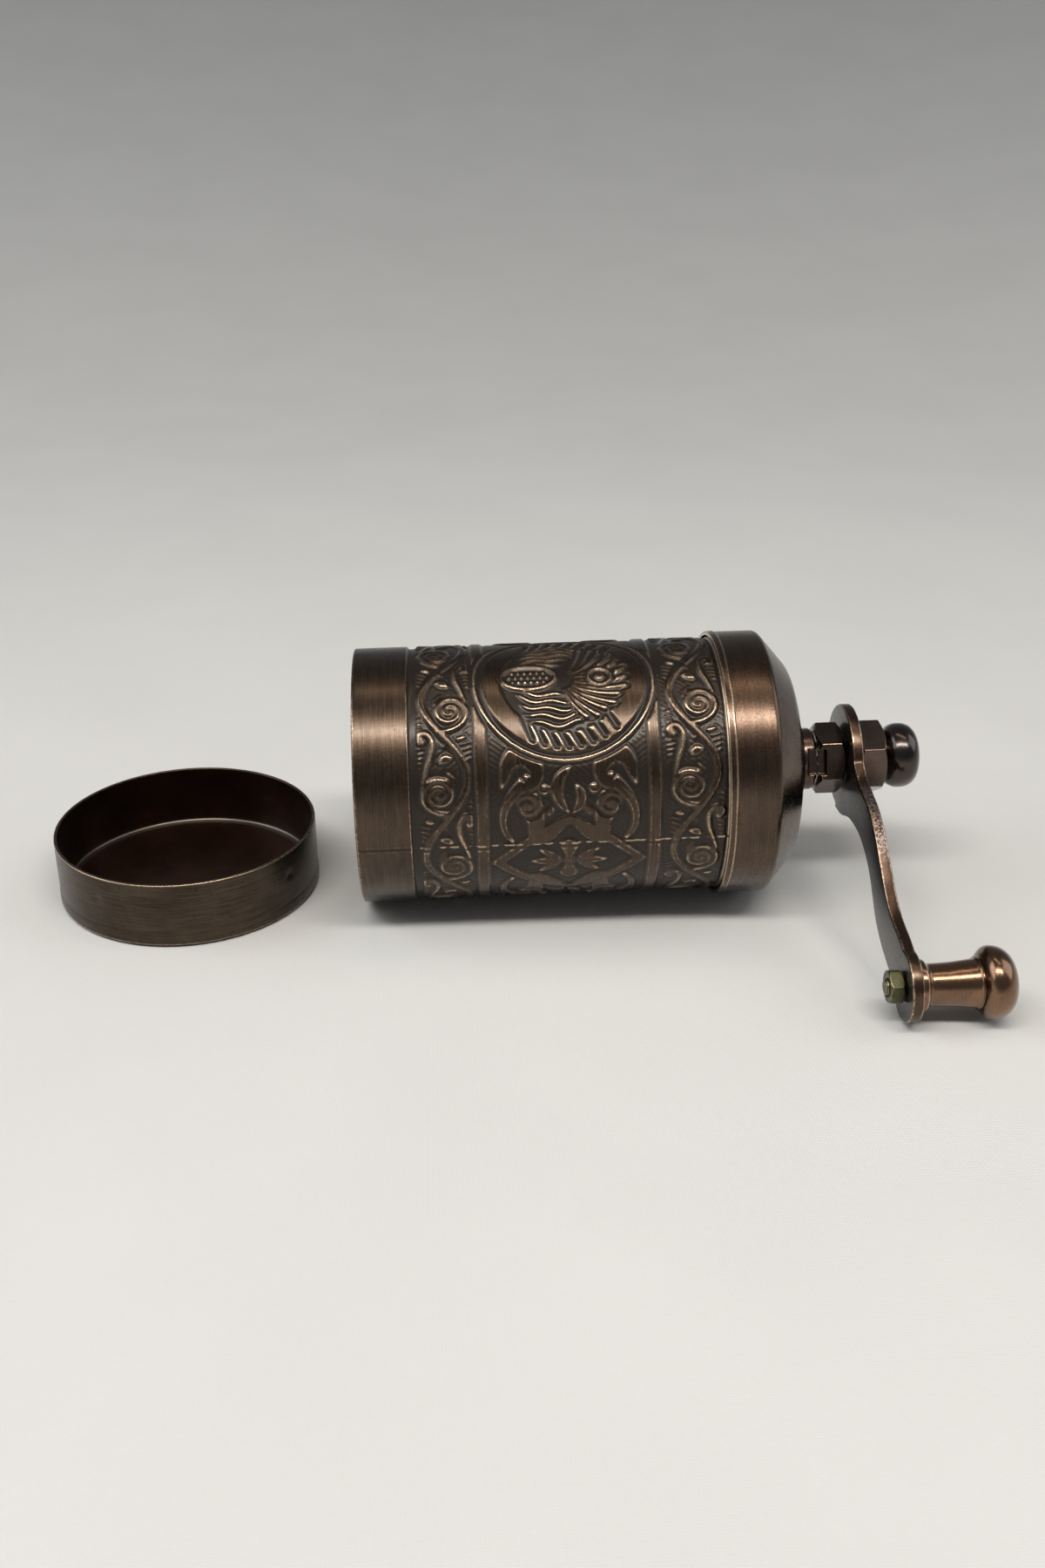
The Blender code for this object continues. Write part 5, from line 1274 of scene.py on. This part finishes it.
# Share of the arm's length, how far its middle bows aside, half its width.
ARM_STATIONS = (
    (0.06, -1.2, 9.4), (0.13, -0.9, 7.8), (0.21, 0.6, 5.5), (0.29, 2.1, 4.6), (0.37, 3.2, 4.3),
    (0.44, 3.3, 4.15), (0.52, 2.6, 4.0), (0.59, 1.3, 4.2), (0.66, -0.1, 4.5), (0.77, -0.8, 4.5),
    (0.88, -0.1, 4.8), (1.0, 0.0, 5.4),
)
ARM_HEAD, ARM_END = 10.2, 6.2


def arm_width(share):
    """Bow and half width at a share of the arm's length, smoothly."""
    stations = np.array(ARM_STATIONS)
    t, values = stations[:, 0], stations[:, 1:]
    slope = np.gradient(values, t, axis=0)
    i = int(np.clip(np.searchsorted(t, share) - 1, 0, len(t) - 2))
    span = t[i + 1] - t[i]
    u = np.clip((share - t[i]) / span, 0, 1)
    return (
        (2 * u**3 - 3 * u**2 + 1) * values[i] + (u**3 - 2 * u**2 + u) * slope[i] * span
        + (3 * u**2 - 2 * u**3) * values[i + 1] + (u**3 - u**2) * slope[i + 1] * span
    )


def arm_outline(count=220):
    """The arm's outline, anticlockwise, its corners slightly eased."""
    first, last = -ARM_HEAD, ARM_LENGTH + ARM_END
    upper, lower = [], []
    for i in range(1, count):
        u = first + (last - first) * (0.5 - 0.5 * math.cos(math.pi * i / count))
        tops, bottoms = [], []
        for centre, radius in ((0.0, ARM_HEAD), (ARM_LENGTH, ARM_END)):
            if abs(u - centre) < radius:
                half = math.sqrt(radius**2 - (u - centre) ** 2)
                tops.append(half)
                bottoms.append(-half)
        if ARM_STATIONS[0][0] <= u / ARM_LENGTH <= 1.0:
            bow, half = arm_width(u / ARM_LENGTH)
            tops.append(half - bow)
            bottoms.append(-half - bow)
        upper.append((u, max(tops)))
        lower.append((u, min(bottoms)))
    return np.array([(first, 0.0)] + lower + [(last, 0.0)] + upper[::-1])


def drive_hole():
    """The arm's hole for the spindle: round, with two flats."""
    bore, flat = 3.25, 2.5
    corner = math.atan2(flat, math.sqrt(bore**2 - flat**2))
    angles = list(np.linspace(-corner, corner, 12)) + list(np.linspace(math.pi - corner, math.pi + corner, 12))
    return np.array([(bore * math.cos(a), bore * math.sin(a)) for a in angles])


class MILL_OT_knob(bpy.types.Operator):
    """Build the turned knob, its bolt and the bolt's nut behind the arm"""

    bl_idname = "mill.knob"
    bl_label = "Knob"

    def execute(self, context):
        low, high, wide = reach("knob", KNOB)
        head = low + 10.3
        middle = head + 0.38 * (high - head)
        outline = [
            (1.8, low, 0.1), (4.4, low, 0.15), (4.5, low + 1.0, 0.35), (3.65, low + 1.5, 0.5),
            (3.75, low + 5.8, 1.0), (4.2, head - 0.5, 0.4), (4.55, head - 0.1, 0.2),
        ]
        rows = soften(outline)[:-1]
        for d in np.linspace(-60, 62, 30):
            c, t = math.cos(math.radians(d)), math.sin(math.radians(d))
            rise = (middle - head if t < 0 else high - middle) * t / math.sin(math.radians(62))
            rows.append((wide * c**0.62, middle + rise * (0.96 if t > 0 else 0.98)))
        rows += soften([(3.7, high - 0.12, 0.3), (2.9, high - 0.2, 0.15), (2.9, high - 1.8, 0.05),
                        (1.8, high - 1.8, 0.05)])
        mesh = skin("knob_turned", rows_of(fine(rows, 0.35), 128))
        add_piece(mesh, coat("knob copper"), "knob", "bright_copper", "knob", place=KNOB)

        low, high, _ = reach("knob_bolt", KNOB)
        outline = [
            (0, low, 0), (1.25, low, 0.15), (1.5, low + 0.35, 0.1),
            (1.5, high - 1.4, 0.02), (2.6, high - 1.4, 0.1),
            (2.6, high - 0.5, 0.3), (1.9, high - 0.12, 0.5), (0, high, 0),
        ]
        add_piece(turned("knob_bolt_turned", outline, 64, 0.3), coat("zinc plate"), "crank", "zinc_plate",
                  "knob_bolt", place=KNOB)

        low, high, wide = reach("knob_nut", KNOB)
        flat = wide * math.cos(math.pi / 6)
        profile = [(1.75, low, False), (flat * 0.85, low, False)]
        profile += flanks(low, high, wide, flat, 0.35, 6)
        profile += [(flat * 0.85, high, False), (1.75, high, False)]
        rows = hex_rows(profile, 144, flat, KNOB_NUT_TURN)
        add_piece(skin("knob_nut_turned", rows), coat("zinc plate"), "crank", "zinc_plate", "knob_nut",
                  place=KNOB)
        return {"FINISHED"}


class MILL_OT_cap(bpy.types.Operator):
    """Build the push-on cap with its band and the dimples that grip the body"""

    bl_idname = "mill.cap"
    bl_label = "Bottom Cap"

    def execute(self, context):
        s = sizes()
        band, height = s.cap_radius, s.cap_height
        outer = band - 0.12
        inner = outer - 0.65
        outline = [
            (0, 0, 0), (band, 0, 0.6), (band, 1.9, 0.3), (outer, 2.6, 0.3), (outer, height, 0.22),
            (inner, height, 0.18), (inner, 0.7, 0.7), (0, 0.7, 0),
        ]
        columns = 480
        rows = rows_of(fine(soften(outline, 6), 0.4), columns)
        turn = TAU * np.arange(columns) / columns
        # four dimples, pressed in a little under the open edge
        for row in rows:
            if len(row) == 1:
                continue
            size = np.hypot(row[:, 0], row[:, 1])
            for middle in np.radians((57, 147, 237, 327)):
                across = ((turn - middle + math.pi) % TAU - math.pi) * inner
                near = np.exp(-(((across / 0.9) ** 2) + ((row[:, 2] - height + 4.6) / 0.8) ** 2))
                size = size - 0.2 * near * (size > inner - 1.5)
            row[:, 0], row[:, 1] = size * np.cos(turn), size * np.sin(turn)
        mesh = skin("cap_turned", rows)
        add_piece(mesh, cap_finish(), "cap", "aged_copper", "bottom_cap", place=CAP)
        return {"FINISHED"}


def cap_finish():
    """The cap's finish: brown outside. Inside, painted shade makes the wall and floor nearly black, and a
    painted reflection puts a grey ring round the floor.
    """
    made, tree, shown, base = opened("cap copper")
    place = add(tree, "SeparateXYZ", {0: millimetres(tree)}).outputs
    size = add(tree, "VectorMath", {0: add(tree, "CombineXYZ", {0: place[0], 1: place[1]}).outputs[0]},
               operation="LENGTH").outputs["Value"]
    inner = sizes().cap_radius - 0.5
    # painted shade: the inside of the cap, wall and floor, is made far darker than the outside, the wall
    # darkest
    inside = times(tree, spread(tree, size, inner, inner - 0.15),
                       spread(tree, place[2], 0.3, 0.6))
    patina = effect(tree, "Patina", Size=9.0, Contrast=0.6, Seed=61.0)
    floor = blend(tree, patina["Clouds"], (0.05, 0.022, 0.014), (0.11, 0.05, 0.03))
    painted_shade_wall = blend(tree, patina["Clouds"], (0.03, 0.02, 0.015), (0.07, 0.04, 0.028))
    painted_shade_and_reflection = blend(tree, spread(tree, place[2], 1.6, 0.9), painted_shade_wall, floor)
    # painted reflection: a pale grey ring on the floor by the wall, where the fillet there would catch the
    # light
    edge = times(tree, spread(tree, size, inner - 1.9, inner - 1.3),
                     spread(tree, place[2], 1.4, 1.0))
    painted_shade_and_reflection = blend(tree, times(tree, edge, 0.6), painted_shade_and_reflection, (0.20, 0.19, 0.17))
    base = blend(tree, times(tree, inside, 0.9), base, painted_shade_and_reflection)
    tree.links.new(base, shown)
    return made


class MILL_OT_works(bpy.types.Operator):
    """Finish the burrs, bridges, spring, spindle and adjuster inside the mill"""

    bl_idname = "mill.works"
    bl_label = "Inner Works"

    def execute(self, context):
        coats = {
            "burr iron": ("inner_burr", "outer_burr"),
            "sheet steel": ("burr_carrier", "hopper_funnel", "lower_bridge", "bridge_screw_left",
                            "bridge_screw_right", "upper_bridge", "bridge_rivet_left", "bridge_rivet_right",
                            "burr_nut", "spring_washer"),
            "turned brass": ("adjuster_lock_nut", "adjusting_screw", "bridge_bushing"),
            "spring steel": ("spindle", "spring_clip", "pressure_spring"),
        }
        for name, nodes in coats.items():
            for node in nodes:
                for slot in frame["nodes"][node].material_slots:
                    slot.material = coat(name)
        return {"FINISHED"}


class MILL_OT_stage(bpy.types.Operator):
    """Set the pale cloth floor, the soft lights and the camera"""

    bl_idname = "mill.stage"
    bl_label = "Stage"

    def execute(self, context):
        scene = context.scene
        s = scene.mill_stage
        self.build_floor(s)
        self.build_sky(scene, s)
        self.add_light("front_strip_light", s.strip_power, (-0.02, -0.31, 0.66), (0.0, 0.01, 0.02), 0.80, 0.10,
                       (1.0, 0.95, 0.88))
        self.add_light("overhead_light", s.overhead_power, (0.10, 0.09, 0.75), (0.05, 0.01, 0.0), 0.55, 0.06,
                       (1.0, 0.80, 0.60))
        for name, side in (("left", -1), ("right", 1)):
            self.add_light("side_light_" + name, s.side_power * (1.15 - 0.25 * side),
                           (side * 1.05, -0.05, 0.80), (0.0, 0.0, 0.0), 0.9, 0.9, (0.97, 0.985, 1.0))
        camera = bpy.data.cameras.new("camera")
        camera.lens = s.lens
        camera.sensor_width = 36
        camera.sensor_fit = "HORIZONTAL"
        camera.clip_start = 0.01
        held = bpy.data.objects.new("camera", camera)
        scene.collection.objects.link(held)
        level = math.cos(s.pitch)
        look = Vector((math.sin(s.yaw) * level, math.cos(s.yaw) * level, -math.sin(s.pitch)))
        held.location = s.eye
        held.rotation_euler = look.to_track_quat("-Z", "Y").to_euler()
        scene.camera = held
        scene.view_settings.view_transform = "Standard"
        return {"FINISHED"}

    def add_light(self, name, power, place, aim, wide, deep, tint):
        light = bpy.data.lights.new(name, "AREA")
        light.shape, light.size, light.size_y = "RECTANGLE", wide, deep
        light.energy, light.color = power, tint
        held = bpy.data.objects.new(name, light)
        bpy.context.scene.collection.objects.link(held)
        held.location = place
        held.rotation_euler = (Vector(aim) - Vector(place)).to_track_quat("-Z", "Y").to_euler()

    def build_sky(self, scene, s):
        """Soft light from all round: bright overhead, dim near the horizon."""
        world = bpy.data.worlds.new("studio")
        scene.world = world
        world.use_nodes = True
        tree = world.node_tree
        up = add(tree, "SeparateXYZ", {0: add(tree, "TexCoord").outputs["Generated"]}).outputs[2]
        amount = spread(tree, up, -0.1, 0.9)
        tone = blend(tree, amount, (1.0, 0.98, 0.96), (0.65, 0.66, 0.68))
        back = tree.nodes["Background"]
        tree.links.new(tone, back.inputs["Color"])
        back.inputs["Strength"].default_value = s.sky_strength

    def build_floor(self, s):
        """A wide round cloth that curves up far from the mill on every side."""
        radii = np.concatenate([[0.0], 0.004 * 1.12 ** np.arange(52), np.linspace(1.5, 3.0, 20)])
        flat, run, rise = 0.38, 2.6, 0.9
        heights = rise * step_up((radii - flat) / run) - 0.0004
        around = 128
        a = TAU * np.arange(around) / around
        points = [(0.0, 0.0, heights[0])]
        for r, h in zip(radii[1:], heights[1:]):
            points += [(r * math.cos(t), r * math.sin(t), h) for t in a]
        faces = [(0, 1 + k, 1 + (k + 1) % around) for k in range(around)]
        for i in range(len(radii) - 2):
            low, high = 1 + i * around, 1 + (i + 1) * around
            for k in range(around):
                after = (k + 1) % around
                faces.append((low + k, high + k, high + after, low + after))
        mesh = bpy.data.meshes.new("cloth_floor")
        mesh.from_pydata(points, [], faces)
        mesh.shade_smooth()
        material = bpy.data.materials.new("pale_cloth")
        material.use_nodes = True
        tree = material.node_tree
        shader = tree.nodes["Principled BSDF"]
        cloth = effect(tree, "Cotton Weave", Thread=0.45)
        pale, dull, shade = (tuple(factor * c for c in s.cloth) for factor in (1.0, 0.97, 0.8))
        tone = blend(tree, spread(tree, cloth["Tone"], 0.3, 0.7), dull, pale)
        tone = blend(tree, times(tree, cloth["Weave"], 0.10), tone, shade)
        tree.links.new(tone, shader.inputs["Base Color"])
        shader.inputs["Roughness"].default_value = 0.9
        bump = add(tree, "Bump", {"Strength": 0.35, "Distance": 0.05 * MM, "Height": cloth["Weave"]})
        tree.links.new(bump.outputs[0], shader.inputs["Normal"])
        mesh.materials.append(material)
        floor = bpy.data.objects.new("cloth_floor", mesh)
        bpy.context.scene.collection.objects.link(floor)
        floor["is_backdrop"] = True


class MILL_PT_panel(bpy.types.Panel):
    """Lists the steps and the settings of the coffee mill"""

    bl_idname = "MILL_PT_panel"
    bl_label = "Coffee Mill"
    bl_space_type = "VIEW_3D"
    bl_region_type = "UI"
    bl_category = "Coffee Mill"

    def draw(self, context):
        for step in STEPS:
            self.layout.operator(step.bl_idname)
        for settings in (context.scene.mill_sizes, context.scene.mill_finish, context.scene.mill_stage):
            box = self.layout.box()
            for name in settings.__annotations__:
                box.prop(settings, name)


SETTINGS = {"mill_sizes": MillSizes, "mill_finish": MillFinish, "mill_stage": StageSettings}
STEPS = (MILL_OT_body, MILL_OT_cover, MILL_OT_crank, MILL_OT_knob, MILL_OT_cap, MILL_OT_works, MILL_OT_stage)


def register():
    for name, settings in SETTINGS.items():
        bpy.utils.register_class(settings)
        setattr(bpy.types.Scene, name, PointerProperty(type=settings))
    for step in STEPS:
        bpy.utils.register_class(step)
    bpy.utils.register_class(MILL_PT_panel)


def unregister():
    bpy.utils.unregister_class(MILL_PT_panel)
    for step in reversed(STEPS):
        bpy.utils.unregister_class(step)
    for name, settings in SETTINGS.items():
        delattr(bpy.types.Scene, name)
        bpy.utils.unregister_class(settings)


def main():
    register()
    for step in STEPS:
        group, name = step.bl_idname.split(".")
        getattr(getattr(bpy.ops, group), name)()
    boxes = {"cad": CAD_BOX, "visual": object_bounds()}
    {name: [list(corner) for corner in box] for name, box in boxes.items()}


if __name__ == "__main__":
    main()
